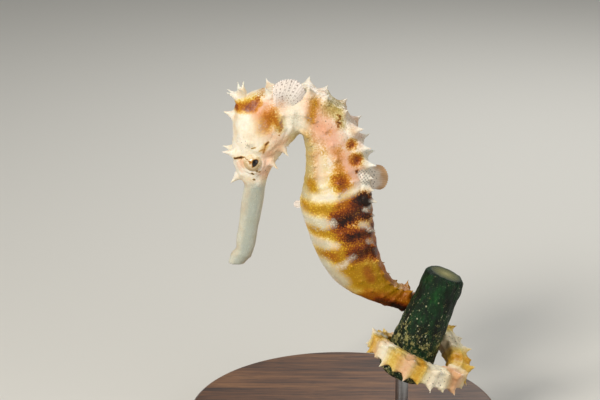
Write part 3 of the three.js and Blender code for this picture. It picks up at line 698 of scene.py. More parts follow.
# %% Strokes of colour
STROKES = {
    # layer: [(line of (x, z) points, brush radius, strength), ...]
    "rose": [
        ([(-17.2, 70.9), (-15.5, 71.3)], 1.5, 0.9),                         # between the head's patches
        ([(-12.9, 73.6), (-11.8, 71.6)], 1.3, 0.7),
        ([(-15.2, 67.3), (-13.4, 65.0)], 1.9, 0.4),                         # lower gill cover
        ([(-6.6, 71.0), (-4.6, 66.8)], 2.4, 0.85),                          # side of the neck
        ([(-3.4, 66.8), (-1.2, 62.5), (0.6, 59.6)], 1.9, 0.85),
        ([(0.6, 59.8), (1.6, 57.2)], 1.4, 0.6),
        ([(-20.9, 59.6), (-20.2, 60.4)], 0.8, 0.45),                         # in front of the eye
        ([(-15.6, 62.0), (-15.6, 60.0), (-16.0, 57.8)], 1.1, 0.55),
        ([(-5.6, 62.2), (-5.3, 58.0)], 1.1, 0.5),
        ([(1.4, 71.0), (3.4, 65.0)], 1.5, 0.5),
        ([(-1.0, 49.2), (-3.4, 48.4)], 0.8, 0.5), ([(-1.6, 43.7), (-0.2, 39.9)], 0.8, 0.55),
    ],
    "olive_and_shade": [
        # the olive along the belly's edge is partly the skin's own tint and partly painted shade where the
        # flank turns away from the light
        ([(-8.2, 65.0), (-8.2, 60.0), (-8.4, 54.6)], 2.1, 0.8),             # edge of the belly
        ([(-4.4, 65.0), (-4.2, 60.0)], 0.9, 0.3), ([(-5.2, 58.0), (-5.2, 54.6)], 0.8, 0.3),
        ([(-13.0, 67.6), (-12.6, 69.4)], 0.8, 0.7), ([(-1.4, 70.4), (-1.0, 68.4)], 0.8, 0.6),
        ([(-3.8, 71.6), (-2.0, 71.2)], 1.2, 0.8), ([(-1.7, 63.4), (-1.5, 61.8)], 1.0, 0.4),
        ([(-1.5, 60.2), (-1.0, 58.4)], 0.9, 0.35),
        ([(-12.6, 74.0), (-11.6, 73.6)], 0.8, 0.7), ([(-6.2, 72.6), (-7.2, 69.3)], 0.95, 0.9),
    ],
    "gold": [
        ([(-6.2, 72.4), (-7.0, 69.4)], 0.65, 0.55), ([(-7.1, 69.7)], 0.7, 0.75),
        ([(-18.8, 71.9), (-17.6, 72.6)], 0.85, 0.65), ([(-20.6, 71.6), (-18.4, 71.8)], 0.9, 0.6),
        ([(-1.5, 63.6), (-1.5, 60.4)], 0.8, 0.2), ([(-1.4, 59.6), (-1.0, 58.0)], 0.9, 0.25),
        ([(-6.8, 56.2), (-6.2, 55.3)], 0.9, 0.75),
        ([(-4.4, 63.5), (-4.1, 55.0)], 0.6, 0.2),                          # a stripe down the flank
        ([(-1.2, 57.3), (-0.6, 55.7)], 1.5, 0.85),                          # the flank's netted patch
        ([(-7.9, 51.2), (-5.0, 51.1), (-2.2, 51.5), (0.2, 52.4)], 1.3, 0.85),    # the pouch's first band
        ([(-1.6, 49.6), (1.6, 50.6)], 1.6, 0.9),
        ([(-6.4, 46.9), (-3.4, 46.5), (-1.4, 46.3)], 1.15, 0.95), ([(-0.4, 45.8), (3.4, 45.8)], 1.6, 1.0),
        ([(-4.6, 41.9), (-1.8, 41.2), (0.2, 41.2)], 1.4, 1.0), ([(0.8, 42.6), (4.8, 42.6)], 2.2, 1.0),
        ([(0.2, 38.9), (3.0, 38.0), (6.4, 37.0)], 1.9, 1.0),                # under the pouch
        ([(3.2, 36.2), (7.0, 35.2), (9.4, 34.0), (12.4, 32.0)], 2.4, 1.0),
    ],
    "rust": [
        ([(-21.7, 71.3), (-20.2, 71.3), (-18.6, 71.5)], 0.8, 0.65),        # the head's first patch
        ([(-18.4, 72.0), (-17.4, 72.7)], 0.75, 0.6),
        ([(-16.0, 68.9), (-14.9, 69.8), (-14.4, 70.2)], 1.4, 0.6),         # the head's second patch
        ([(-15.0, 69.8)], 0.9, 0.65), ([(-16.8, 67.4), (-16.0, 67.9)], 1.0, 0.45),
        ([(-16.4, 63.2), (-15.7, 64.2)], 0.5, 0.5), ([(-13.8, 69.0), (-12.9, 68.2)], 0.6, 0.5),
        ([(-13.4, 74.1), (-12.4, 73.5)], 0.42, 0.7), ([(-12.6, 72.4)], 0.45, 0.5),
        ([(-3.4, 67.0)], 0.6, 0.25),
        ([(1.1, 64.4)], 0.8, 1.0), ([(2.0, 61.4)], 1.05, 1.0), ([(2.0, 61.4)], 0.8, 0.8),   # two spots
        ([(-1.5, 57.4), (-0.3, 56.9), (-0.6, 55.8)], 1.1, 0.75),
        ([(-0.9, 52.2), (0.6, 52.7), (3.0, 53.4)], 1.1, 0.75),
        ([(-1.4, 49.3), (2.4, 50.9), (4.2, 50.2)], 1.5, 0.85),
        ([(-0.4, 46.6), (2.8, 46.2), (5.2, 46.0)], 1.4, 0.8),
        ([(1.6, 42.6), (4.6, 42.8), (6.4, 41.6)], 1.4, 0.7),
        ([(-3.4, 41.8), (-2.0, 41.2)], 0.8, 0.45),
        ([(4.4, 38.2), (5.3, 36.2)], 0.8, 0.55),                            # an orange core in the gold
        ([(4.6, 32.4), (8.6, 31.2), (12.4, 30.2)], 1.3, 0.65),
        ([(12.4, 31.2), (13.8, 30.4)], 1.5, 0.7),
    ],
    "brown": [
        ([(-19.2, 71.3), (-18.7, 71.5)], 0.6, 0.45), ([(-21.7, 71.1)], 0.5, 0.6),
        ([(-16.9, 73.6), (-16.4, 73.9)], 0.5, 0.35),
        ([(-12.7, 69.3), (-12.5, 67.9), (-12.8, 67.2)], 0.26, 0.5),         # trailing off the second patch
        ([(-13.1, 66.3)], 0.13, 0.9), ([(-7.2, 69.8)], 0.5, 0.35), ([(-17.8, 72.6)], 0.6, 0.3),
        ([(-1.7, 70.3), (-1.2, 70.0), (-1.3, 69.5)], 0.24, 0.6),            # two small hooks on the nape
        ([(-1.8, 69.0), (-1.2, 68.7), (-1.5, 68.2)], 0.24, 0.62),
        ([(0.9, 64.1)], 0.55, 0.6), ([(2.1, 61.2)], 0.7, 0.5), ([(2.2, 58.9)], 0.34, 1.0),
        ([(-0.9, 57.0)], 0.7, 0.45),
        ([(2.0, 53.1), (4.2, 53.2)], 1.0, 0.9),
        ([(-1.8, 48.8), (0.6, 49.6), (2.8, 50.8)], 1.5, 0.95),
        ([(0.6, 45.5), (3.0, 46.0), (5.0, 46.2)], 1.2, 0.85),
        ([(2.0, 41.6), (4.8, 42.8), (6.2, 41.8)], 1.3, 0.85),
        ([(6.8, 31.0), (10.2, 29.8), (13.2, 28.8)], 0.8, 0.85),               # underside of the tail's root
    ],
    "dark": [
        ([(3.5, 53.3), (5.4, 51.6)], 1.15, 1.0), ([(4.3, 49.7), (5.8, 49.0)], 0.85, 0.95),
        ([(5.2, 46.8), (6.4, 45.4)], 0.7, 0.85), ([(-0.6, 48.6), (0.6, 49.4)], 0.7, 0.6),
        ([(1.0, 45.6), (2.4, 45.8)], 0.6, 0.55), ([(9.8, 29.8), (13.4, 28.4)], 0.6, 0.8),
    ],
    "white": [
        ([(-10.4, 71.4), (-9.8, 68.8)], 1.9, 0.95),                         # behind the gill cover
        ([(-18.9, 67.5), (-18.4, 64.5)], 2.3, 0.65),
        ([(-18.8, 62.0), (-18.0, 62.4)], 1.1, 0.7),
        ([(-4.6, 61.4), (-4.7, 56.0)], 0.8, 0.5),
        ([(-6.0, 53.6), (-1.6, 53.9), (1.6, 55.0)], 0.8, 0.6),              # above the first band
        ([(-4.6, 48.3), (-2.6, 48.6)], 0.8, 0.6), ([(-3.6, 43.7), (-1.8, 43.8)], 0.7, 0.55),
        ([(0.4, 40.6), (1.6, 41.4)], 0.6, 0.4), ([(-1.6, 38.9), (-0.2, 39.6)], 0.7, 0.6),
        ([(3.8, 51.0), (6.0, 50.6)], 0.42, 0.65), ([(3.2, 47.9), (4.8, 47.2)], 0.55, 0.6),
        ([(4.8, 46.6), (6.4, 46.2)], 0.4, 0.55), ([(4.7, 44.4), (6.0, 43.9)], 0.5, 0.6),
    ],
    "pearl_and_shade": [
        # the cool white of the belly's edge, between the bands, greyer than the white: partly the skin's own
        # colour and partly painted shade
        ([(-8.2, 49.0), (-5.6, 48.3), (-4.4, 48.4)], 1.1, 0.9), ([(-6.4, 44.2), (-4.0, 43.7)], 0.95, 0.9),
        ([(-4.2, 39.6), (-2.4, 37.6), (-0.2, 35.6)], 1.1, 0.95), ([(-8.4, 53.4), (-7.6, 53.6)], 0.8, 0.6),
        ([(-9.6, 70.0), (-9.8, 68.8)], 1.2, 0.5),
    ],
    "freckle": [
        ([(-5.0, 69.6), (-3.9, 68.8)], 2.0, 0.7), ([(-6.6, 73.6), (-2.6, 73.0)], 1.4, 0.7),
        ([(-16.2, 59.2), (-16.0, 56.9)], 1.1, 0.9), ([(-20.4, 65.2), (-20.6, 62.8)], 0.9, 0.6),
        ([(0.6, 67.0), (1.6, 64.6)], 1.2, 0.5),
    ],
    "fin_root": [
        ([(3.4, 58.3), (4.0, 57.0)], 0.8, 1.0),                           # the dorsal fin's dotted base
    ],
    "mark": [
        # the fine dark lines and dots that run through the eye and round it
        ([(-21.9, 60.95), (-20.6, 61.25)], 0.17, 0.95), ([(-20.6, 61.4), (-20.0, 61.5)], 0.12, 0.8),
        ([(-17.75, 58.95), (-17.45, 58.6)], 0.13, 0.95), ([(-17.0, 58.4)], 0.13, 0.95),
        ([(-18.5, 58.1), (-18.25, 57.9)], 0.16, 0.95), ([(-18.2, 56.7), (-18.0, 56.5)], 0.12, 0.95),
        ([(-18.5, 63.5), (-17.8, 63.7)], 0.12, 0.55), ([(-15.7, 64.4), (-15.2, 64.9)], 0.17, 0.7),
        ([(-16.2, 62.6), (-15.7, 64.2)], 0.16, 0.4), ([(-17.0, 63.0), (-16.3, 63.3)], 0.13, 0.4),
    ],
}
TAIL_BANDS = {
    # layer: [(first ring, last ring, strength), ...]
    "olive_and_shade": [(24.0, 46.0, 0.3)],
    "rust": [(19.5, 22.6, 0.6), (26.8, 27.8, 0.25), (33.1, 33.5, 0.25), (38.0, 38.4, 0.3),
             (41.0, 41.4, 0.3)],
    "gold": [(19.5, 24.0, 0.9), (26.4, 28.6, 0.45), (33.0, 33.6, 0.5), (35.0, 35.8, 0.4), (37.8, 38.7, 0.45),
             (40.7, 41.8, 0.45), (43.6, 44.6, 0.45)],
    "rose": [(29.4, 30.5, 0.7), (34.0, 34.6, 0.75), (36.9, 37.5, 0.4), (42.2, 43.0, 0.4)],
    "white": [(24.8, 25.6, 0.6), (31.1, 32.5, 0.8), (36.2, 36.7, 0.9), (39.3, 40.2, 0.6)],
    "freckle": [(31.1, 32.5, 0.9), (24.0, 26.0, 0.6), (39.0, 40.4, 0.6)],
}


def painted(strokes):
    """How strongly the strokes of one colour cover each point of the flat part of the body."""
    x, z = skin_points[:, 0], skin_points[:, 2]
    cover = np.zeros(len(skin_points))
    for line, radius, strength in strokes:
        distance = distance_to(line, x, z)
        stroke = strength * ramp(distance, 2.1 * radius, 0)
        cover = 1 - (1 - cover) * (1 - stroke)                      # strokes build up, as washes do
    return cover * flat_body


def banded(bands):
    """The same for the bands round the wound tail, which fade over most of a ring."""
    cover = np.zeros(len(skin_points))
    for first, last, strength in bands:
        inside = ramp(skin_rings, first - 0.7, first + 0.5) * ramp(skin_rings, last + 0.7, last - 0.5)
        cover = np.maximum(cover, strength * inside)
    return cover * ~flat_body


layers = {}
for name, strokes in STROKES.items():
    layers[name] = np.maximum(painted(strokes), banded(TAIL_BANDS.get(name, [])))
# a grey on the back that is partly the skin's own ash and partly painted shade, bare snout, cream tips of the
# spines, and a brown and gold saddle on the tail's root
on_back = ramp(np.abs(skin_angles), 66, 24) * ramp(skin_rings, 3, 5) * ramp(skin_rings, 11.5, 10)
layers["ash_and_shade"] = 0.5 * on_back
calm_body = np.maximum(0.6 * ramp(skin_rings, 13.5, 16.5), 0.35 * ramp(skin_rings, 1, 0))
layers["calm"] = np.where(flat_body, calm_body, 0.8)                      # where noise shows less
snout_colour = ramp(skin_places, PLACE["nostril"] - 0.2, PLACE["root of snout"] - 0.2)
layers["snout"] = snout_colour * (0.58 + 0.42 * np.exp(-(((np.abs(skin_angles) - 98) / 36) ** 2)))
tip_start = 0.75 + 0.6 * ramp(skin_rings, 1, 0)            # the head itself stands farther off the tube
tail_root = ramp(skin_rings, 13, 15) * flat_body
layers["tip"] = ramp(stand_off, tip_start, tip_start + 1.25) * (1 - 0.85 * tail_root)
saddle = ramp(np.abs(skin_angles), 50, 20) * ramp(skin_rings, 11.2, 12.2) * flat_body
layers["white"] *= 1 - 0.85 * saddle
layers["dark"] *= 1 - 0.6 * saddle
layers["rust"] = np.maximum(layers["rust"], 0.7 * saddle * ramp(skin_rings, 19, 16))
layers["gold"] = np.maximum(layers["gold"], 0.9 * ramp(skin_rings, 16.4, 17.6) * flat_body)
print({name: int((values > 0.5).sum()) for name, values in layers.items()})

# %% The skin's mesh
skin_material, tree, shader = new_material("moist skin with pigment cells")
FLESH_NODES = ["snout", "head", "coronet", "neck", "trunk_front", "trunk_rear", "brood_pouch"]
FLESH_NODES += [f"tail_{number}" for number in range(1, 7)]
skin = piece("seahorse_skin", skin_points, skin_faces, skin_material, "skin", *FLESH_NODES)


def add_values(thing, values_by_name):
    """Numbers kept on a mesh's points, for its shader to read by name."""
    for name, values in values_by_name.items():
        attribute = thing.data.attributes.new(name, "FLOAT", "POINT")
        attribute.data.foreach_set("value", np.asarray(values, np.float32))


add_values(skin, layers)

# %% [markdown]
# ## Finish of the skin
# A seahorse has no scales: thin moist skin is stretched over bone. Light enters it a little and
# comes out warm, so it has some subsurface scattering, and its wetness is a thin coat. The colour
# lies in pigment cells, a net of them with pale dots between, so no patch is ever even. Real cells are
# finer than these, which are drawn as coarse as they need to be to show. Each layer of the pattern is
# frayed by noise, spotted, and laid over the ones before it.

# %% Skin shader: the ground colour
place = add_node(tree, "TexCoord", "Object")
cloud = add_node(tree, "TexNoise", Vector=place, Scale=per_mm(3.0), Detail=4)
fray = add_node(tree, "TexNoise", Vector=place, Scale=per_mm(1.0), Detail=6, Roughness=0.68)
grain = add_node(tree, "TexNoise", Vector=place, Scale=per_mm(0.3), Detail=3)
GROUND = [(0.30, "#E8C8A4"), (0.44, "#F1DFC0"), (0.58, "#F7F0E0"), (0.74, "#ECCFB0")]
ground = add_node(tree, "ValToRGB", Fac=cloud, stops=GROUND)
print("skin shader, ground colour:", len(tree.nodes), "nodes")

# %% Skin shader: pigment cells
CELL_SPACING = 0.36          # mm between the dark cells of the net
DOT_SPACING = 0.46           # mm between the pale dots inside it
sway = add_node(tree, "TexNoise", "Color", Vector=place, Scale=per_mm(0.8), Detail=2)
SHIFT = (0.25 * METRES,) * 3     # how far noise moves the cells, so that they never line up
wander = add_node(tree, "VectorMath", operation="MULTIPLY_ADD", In0=sway, In1=SHIFT, In2=place)
cells = add_node(tree, "TexVoronoi", Vector=wander, Scale=per_mm(CELL_SPACING), Randomness=0.9)
pale = add_node(tree, "TexVoronoi", Vector=wander, Scale=per_mm(DOT_SPACING), Randomness=0.7)
stipple = add_node(tree, "Math", operation="MULTIPLY_ADD", In0=cells, In1=-1.6, In2=0.72)
fraying = add_node(tree, "Math", operation="MULTIPLY_ADD", In0=fray, In1=1.9, In2=-0.95)
ragged = add_node(tree, "Math", operation="ADD", In0=stipple, In1=fraying)
calm = add_node(tree, "Attribute", "Fac", attribute_name="calm")
lively = add_node(tree, "Math", operation="SUBTRACT", In0=1.0, In1=calm)
ragged = add_node(tree, "Math", operation="MULTIPLY", In0=ragged, In1=lively)
# the pale dots are clearest where the broad noise is light
dots = add_node(tree, "MapRange", interpolation_type="SMOOTHSTEP", Value=pale, From_Min=0.4, From_Max=0.12)
clouded = add_node(tree, "MapRange", Value=cloud, From_Min=0.35, From_Max=0.65, To_Min=0.45, To_Max=1.0)
dots = add_node(tree, "Math", operation="MULTIPLY", In0=dots, In1=clouded)
dots = add_node(tree, "Math", operation="MULTIPLY", In0=dots, In1=lively)
PIGMENTS = [
    # layer, the light it lets through or None, its own colour, that of its dots, hiding, raggedness
    ("snout", None, "#A2ABA0", "#BEC4B4", 0.85, 0.2),
    # the grey on the back is partly the skin's own ash and partly painted shade
    ("ash_and_shade", None, "#A8A490", "#CBC7B6", 0.75, 0.5),
    # olive tint, which along the belly's edge is partly painted shade
    ("olive_and_shade", "#D0BE78", "#A08C48", "#E8DCA8", 0.4, 0.4),
    ("rose", "#F4C6B2", "#E8B098", "#F6D8C8", 0.25, 0.3),
    ("gold", "#E2B02C", "#AE7E00", "#F2CC34", 0.95, 0.4),
    ("rust", "#D08A24", "#A66000", "#F0AC34", 0.95, 0.4),
    ("brown", "#A86420", "#451E00", "#B07414", 0.94, 0.5),
    ("dark", "#704218", "#1A0900", "#5E340C", 0.95, 0.5),
    ("white", None, "#F7EED8", "#FAF3E2", 0.85, 0.45),
    # a greyer white, partly painted shade on the belly's edge
    ("pearl_and_shade", None, "#CCC5AA", "#E2DECC", 0.85, 0.6),
    ("tip", None, "#F1EEE0", "#F4F3EA", 0.75, 0.2),
    ("mark", "#8A5A20", "#2A1004", "#3C1C06", 0.95, 0.15),
]
colour = ground
for name, glaze, own, dot, hiding, raggedness in PIGMENTS:
    layer = add_node(tree, "Attribute", "Fac", attribute_name=name)
    # noise shows most where a layer is neither bare nor full: 4 a (1 - a)
    middle = add_node(tree, "Math", operation="SUBTRACT", In0=1.0, In1=layer)
    middle = add_node(tree, "Math", operation="MULTIPLY", In0=middle, In1=layer)
    middle = add_node(tree, "Math", operation="MULTIPLY_ADD", In0=middle, In1=4 * raggedness, In2=0.0)
    rough = add_node(tree, "Math", operation="MULTIPLY_ADD", In0=ragged, In1=middle, In2=layer)
    density = add_node(tree, "MapRange", Value=rough, From_Min=0.05, From_Max=0.9)
    if glaze:
        # thin pigment only filters the light, more strongly the denser it is
        passed = add_node(tree, "Gamma", Color=linear(glaze), Gamma=density)
        colour = add_node(tree, "Mix", data_type="RGBA", blend_type="MULTIPLY", In0=1.0,
                          In6=colour, In7=passed)
    cover = add_node(tree, "MapRange", Value=density, From_Min=0.3 if glaze else 0.0, To_Max=hiding)
    spotted = add_node(tree, "Mix", data_type="RGBA", In0=dots, In6=linear(own), In7=linear(dot))
    colour = add_node(tree, "Mix", data_type="RGBA", In0=cover, In6=colour, In7=spotted)
print("skin shader with", len(PIGMENTS), "pigments:", len(tree.nodes), "nodes")

# %% Skin shader: freckles
FRECKLE_SPACING = 0.72       # mm
specks = add_node(tree, "TexVoronoi", Vector=place, Scale=per_mm(FRECKLE_SPACING), Randomness=0.7)
speck = add_node(tree, "MapRange", interpolation_type="SMOOTHSTEP", Value=specks,
                 From_Min=0.24, From_Max=0.12)
where = add_node(tree, "Attribute", "Fac", attribute_name="freckle")
speck = add_node(tree, "Math", operation="MULTIPLY", In0=speck, In1=where)
colour = add_node(tree, "Mix", data_type="RGBA", In0=speck, In6=colour, In7=linear("#5B4638"))
print("freckled points:", int((layers["freckle"] > 0.5).sum()))

# %% Skin shader: rows of dots on the dorsal fin's base
ROW_SPACING = 0.5            # mm
ROW_LEAN = 0.6               # radians, so that the rows run along the fin's foot
turned = add_node(tree, "Mapping", Vector=place, Rotation=(0, ROW_LEAN, 0))
level = add_node(tree, "VectorMath", operation="MULTIPLY", In0=turned, In1=(1, 0, 1))
rows_of_dots = add_node(tree, "TexVoronoi", Vector=level, Scale=per_mm(ROW_SPACING), Randomness=0.12)
row_dot = add_node(tree, "MapRange", interpolation_type="SMOOTHSTEP", Value=rows_of_dots,
                   From_Min=0.36, From_Max=0.2, To_Max=0.75)
root = add_node(tree, "Attribute", "Fac", attribute_name="fin_root")
root_cover = add_node(tree, "MapRange", Value=root, From_Min=0.15, From_Max=0.5)
root_white = add_node(tree, "Math", operation="MULTIPLY", In0=root_cover, In1=0.7)
colour = add_node(tree, "Mix", data_type="RGBA", In0=root_white, In6=colour, In7=linear("#E4E0D4"))
row_dot = add_node(tree, "Math", operation="MULTIPLY", In0=row_dot, In1=root_cover)
colour = add_node(tree, "Mix", data_type="RGBA", In0=row_dot, In6=colour, In7=linear("#6A5A4C"))
print("points under the rows of dots:", int((layers["fin_root"] > 0.5).sum()))

# %% Skin shader: gloss, depth and grain
tree.links.new(colour, shader.inputs["Base Color"])
gloss = add_node(tree, "MapRange", Value=grain, From_Min=0.3, From_Max=0.7, To_Min=0.36, To_Max=0.52)
tree.links.new(gloss, shader.inputs["Roughness"])
shader.inputs["Subsurface Weight"].default_value = 0.1
shader.inputs["Subsurface Radius"].default_value = (1.0, 0.6, 0.4)
shader.inputs["Subsurface Scale"].default_value = 0.4 * METRES
shader.inputs["Coat Weight"].default_value = 0.08
shader.inputs["Coat Roughness"].default_value = 0.22
shader.inputs["Specular IOR Level"].default_value = 0.28
height = add_node(tree, "Math", operation="MULTIPLY_ADD", In0=fray, In1=0.8, In2=grain)
height = add_node(tree, "Math", operation="MULTIPLY_ADD", In0=cells, In1=-0.5, In2=height)
bump = add_node(tree, "Bump", Height=height, Strength=0.6, Distance=0.14 * METRES)
tree.links.new(bump, shader.inputs["Normal"])
print("skin shader:", len(tree.nodes), "nodes and", len(tree.links), "links")

# %% [markdown]
# ## Eyes
# Each eye turns by itself in a ring of skin. It is a ball a little under four millimetres across,
# cream like the skin round it, with a small bean of a pupil edged in gold and a brown streak that
# carries on the line on the snout. Every point of the ball is told how far it is from the pupil, to
# the side and up, in millimetres, and the shader draws the iris from those two numbers. The clear
# cornea is the coat: smooth over everything, so the lamp shows in it as a small bright spot.

# %% Eyeballs
GAZE = np.array([0.265, 0.955, 0.135])       # backwards, outwards and up
eye_material, tree, shader = new_material("wet eye under a cornea")
EYE_AROUND, EYE_DOWN = 72, 56
cosines, sines = spokes((1, 0), (0, 1), EYE_AROUND).T
for name, side in (("eye_left", -1), ("eye_right", 1)):
    gaze = unit(GAZE * (1, side, 1))
    sideways = unit(np.cross((0, 0, 1.0), gaze)) * -side
    upwards = unit(np.cross(gaze, sideways)) * -side
    points, values = [], {"across": [], "up": []}
    for polar in math.pi * np.arange(1, EYE_DOWN) / EYE_DOWN:
        cornea = EYE["radius"] * (1 + 0.05 * math.exp(-(polar / 0.42) ** 2))
        ring = gaze * math.cos(polar) + spokes(sideways, upwards, EYE_AROUND) * math.sin(polar)
        points.extend(np.array([EYE["x"], side * EYE["y"], EYE["z"]]) + cornea * ring)
        values["across"].extend(EYE["radius"] * polar * cosines)
        values["up"].extend(EYE["radius"] * polar * sines)
    ball = piece("seahorse_" + name, points, tube_faces(EYE_DOWN - 1, EYE_AROUND), eye_material, "eye", name)
    add_values(ball, values)

# %% Eye shader: the iris
across = add_node(tree, "Attribute", "Fac", attribute_name="across")
up = add_node(tree, "Attribute", "Fac", attribute_name="up")
place = add_node(tree, "TexCoord", "Object")
flat = add_node(tree, "CombineXYZ", X=across, Y=up)
veins = add_node(tree, "TexNoise", Vector=place, Scale=per_mm(0.5), Detail=5)
clouds = add_node(tree, "TexNoise", Vector=place, Scale=per_mm(1.3), Detail=4)
IRIS = [(0.34, "#D2B788"), (0.48, "#E9D8B4"), (0.62, "#F4EAD2")]
iris = add_node(tree, "ValToRGB", Fac=clouds, stops=IRIS)
outwards = add_node(tree, "VectorMath", operation="NORMALIZE", In0=flat)
fibres = add_node(tree, "TexNoise", Vector=outwards, Scale=7.0, Detail=5, Roughness=0.7)
fibres = add_node(tree, "MapRange", Value=fibres, From_Min=0.5, From_Max=0.68, To_Max=0.55)
# the ball's lower front is darker ochre: partly the iris's own tone and partly painted shade where the ball
# turns down from the light
below = add_node(tree, "VectorMath", operation="DOT_PRODUCT", In0=flat, In1=(-0.5, -0.85, 0))
below = add_node(tree, "MapRange", interpolation_type="SMOOTHSTEP", Value=below,
                 From_Min=0.3, From_Max=2.2, To_Max=0.75)
flecks = add_node(tree, "TexVoronoi", Vector=place, Scale=per_mm(0.34), Randomness=0.85)
flecks = add_node(tree, "MapRange", interpolation_type="SMOOTHSTEP", Value=flecks,
                  From_Min=0.34, From_Max=0.16)
near_pupil = add_node(tree, "MapRange", Value=across, From_Min=-0.9, From_Max=0.9, To_Max=0.6)
flecks = add_node(tree, "Math", operation="MULTIPLY", In0=flecks, In1=near_pupil)
print("eye shader, iris:", len(tree.nodes), "nodes")

# %% Eye shader: the streak that runs forward from the pupil
STREAK = {"start": (-0.85, 0.0), "end": (-2.0, 1.05), "root": 0.36, "half_width": 0.11}
run = np.array(STREAK["end"]) - STREAK["start"]
along_x, along_y = run / np.hypot(*run)
from_start = add_node(tree, "VectorMath", operation="SUBTRACT", In0=flat, In1=(*STREAK["start"], 0))
beside = add_node(tree, "VectorMath", operation="DOT_PRODUCT", In0=from_start, In1=(-along_y, along_x, 0))
beyond = add_node(tree, "VectorMath", operation="DOT_PRODUCT", In0=from_start, In1=(along_x, along_y, 0))
wobble = add_node(tree, "Math", operation="MULTIPLY_ADD", In0=veins, In1=0.6, In2=-0.3)
beside = add_node(tree, "Math", operation="ADD", In0=beside, In1=wobble)
beside = add_node(tree, "Math", operation="ABSOLUTE", In0=beside)
thick = add_node(tree, "MapRange", Value=beyond, From_Min=0.0, From_Max=0.7,
                 To_Min=STREAK["root"], To_Max=STREAK["half_width"])
inside = add_node(tree, "Math", operation="SUBTRACT", In0=thick, In1=beside)
streak = add_node(tree, "MapRange", interpolation_type="SMOOTHSTEP", Value=inside,
                  From_Min=-0.1, From_Max=0.1)
begun = add_node(tree, "MapRange", Value=beyond, From_Min=-0.25, From_Max=0.05)
streak = add_node(tree, "Math", operation="MULTIPLY", In0=streak, In1=begun)
print("the streak is", round(np.hypot(*run), 2), "mm long")

# %% Eye shader: the bean-shaped pupil and its gold edge
PUPIL_RADIUS, EDGE_WIDTH = 0.65, 0.09        # mm
lean = add_node(tree, "Math", operation="MULTIPLY_ADD", In0=across, In1=-0.45, In2=up)
bend = add_node(tree, "Math", operation="MULTIPLY", In0=lean, In1=lean)
bean = add_node(tree, "Math", operation="MULTIPLY_ADD", In0=bend, In1=0.55, In2=across)
bean_up = add_node(tree, "Math", operation="MULTIPLY", In0=lean, In1=0.86)
bean = add_node(tree, "CombineXYZ", X=bean, Y=bean_up)
reach = add_node(tree, "VectorMath", operation="LENGTH", In0=bean)
reach = add_node(tree, "Math", operation="MULTIPLY_ADD", In0=veins, In1=0.12, In2=reach)
gold = add_node(tree, "MapRange", interpolation_type="SMOOTHSTEP", Value=reach,
                From_Min=PUPIL_RADIUS + 2.2 * EDGE_WIDTH, From_Max=PUPIL_RADIUS + EDGE_WIDTH)
pupil = add_node(tree, "MapRange", interpolation_type="SMOOTHSTEP", Value=reach,
                 From_Min=PUPIL_RADIUS + 0.05, From_Max=PUPIL_RADIUS)
print("the pupil is", 2 * PUPIL_RADIUS, "mm wide")

# %% Eye shader: the tones, one over the other, and the cornea
EYE_TONES = ((fibres, "#B98E55"), (below, "#C39B62"), (flecks, "#8A6440"),
             (streak, "#A86C22"), (gold, "#B27C28"), (pupil, "#120603"))
colour = iris
for cover, tone in EYE_TONES:
    colour = add_node(tree, "Mix", data_type="RGBA", In0=cover, In6=colour, In7=linear(tone))
tree.links.new(colour, shader.inputs["Base Color"])
shader.inputs["Roughness"].default_value = 0.28
shader.inputs["Subsurface Weight"].default_value = 0.12
shader.inputs["Subsurface Radius"].default_value = (1.0, 0.6, 0.4)
shader.inputs["Subsurface Scale"].default_value = 0.4 * METRES
shader.inputs["Coat Weight"].default_value = 0.6
shader.inputs["Coat Roughness"].default_value = 0.05
shader.inputs["Specular IOR Level"].default_value = 0.3
print("eye shader:", len(tree.nodes), "nodes and", len(tree.links), "links")

# %% [markdown]
# ## Fins
# A seahorse has a small dorsal fin that drives it, a pair of pectoral fins behind the gills that
# steer, and a tiny anal fin. Each is a clear membrane held out by soft rays. The rays are modelled as
# ridges in a thin closed sheet, and the membrane between them lets some light through. On the dorsal
# fin a row of dark dots follows every second ray, and its margin is tan.

# %% A fin as a ribbed sheet
MEMBRANE, RAY = 0.09, 0.12                   # mm thick
COLUMNS_PER_RAY, FIN_ROWS = 6, 36
DOT_STEP = 0.7                               # mm from dot to dot along a ray


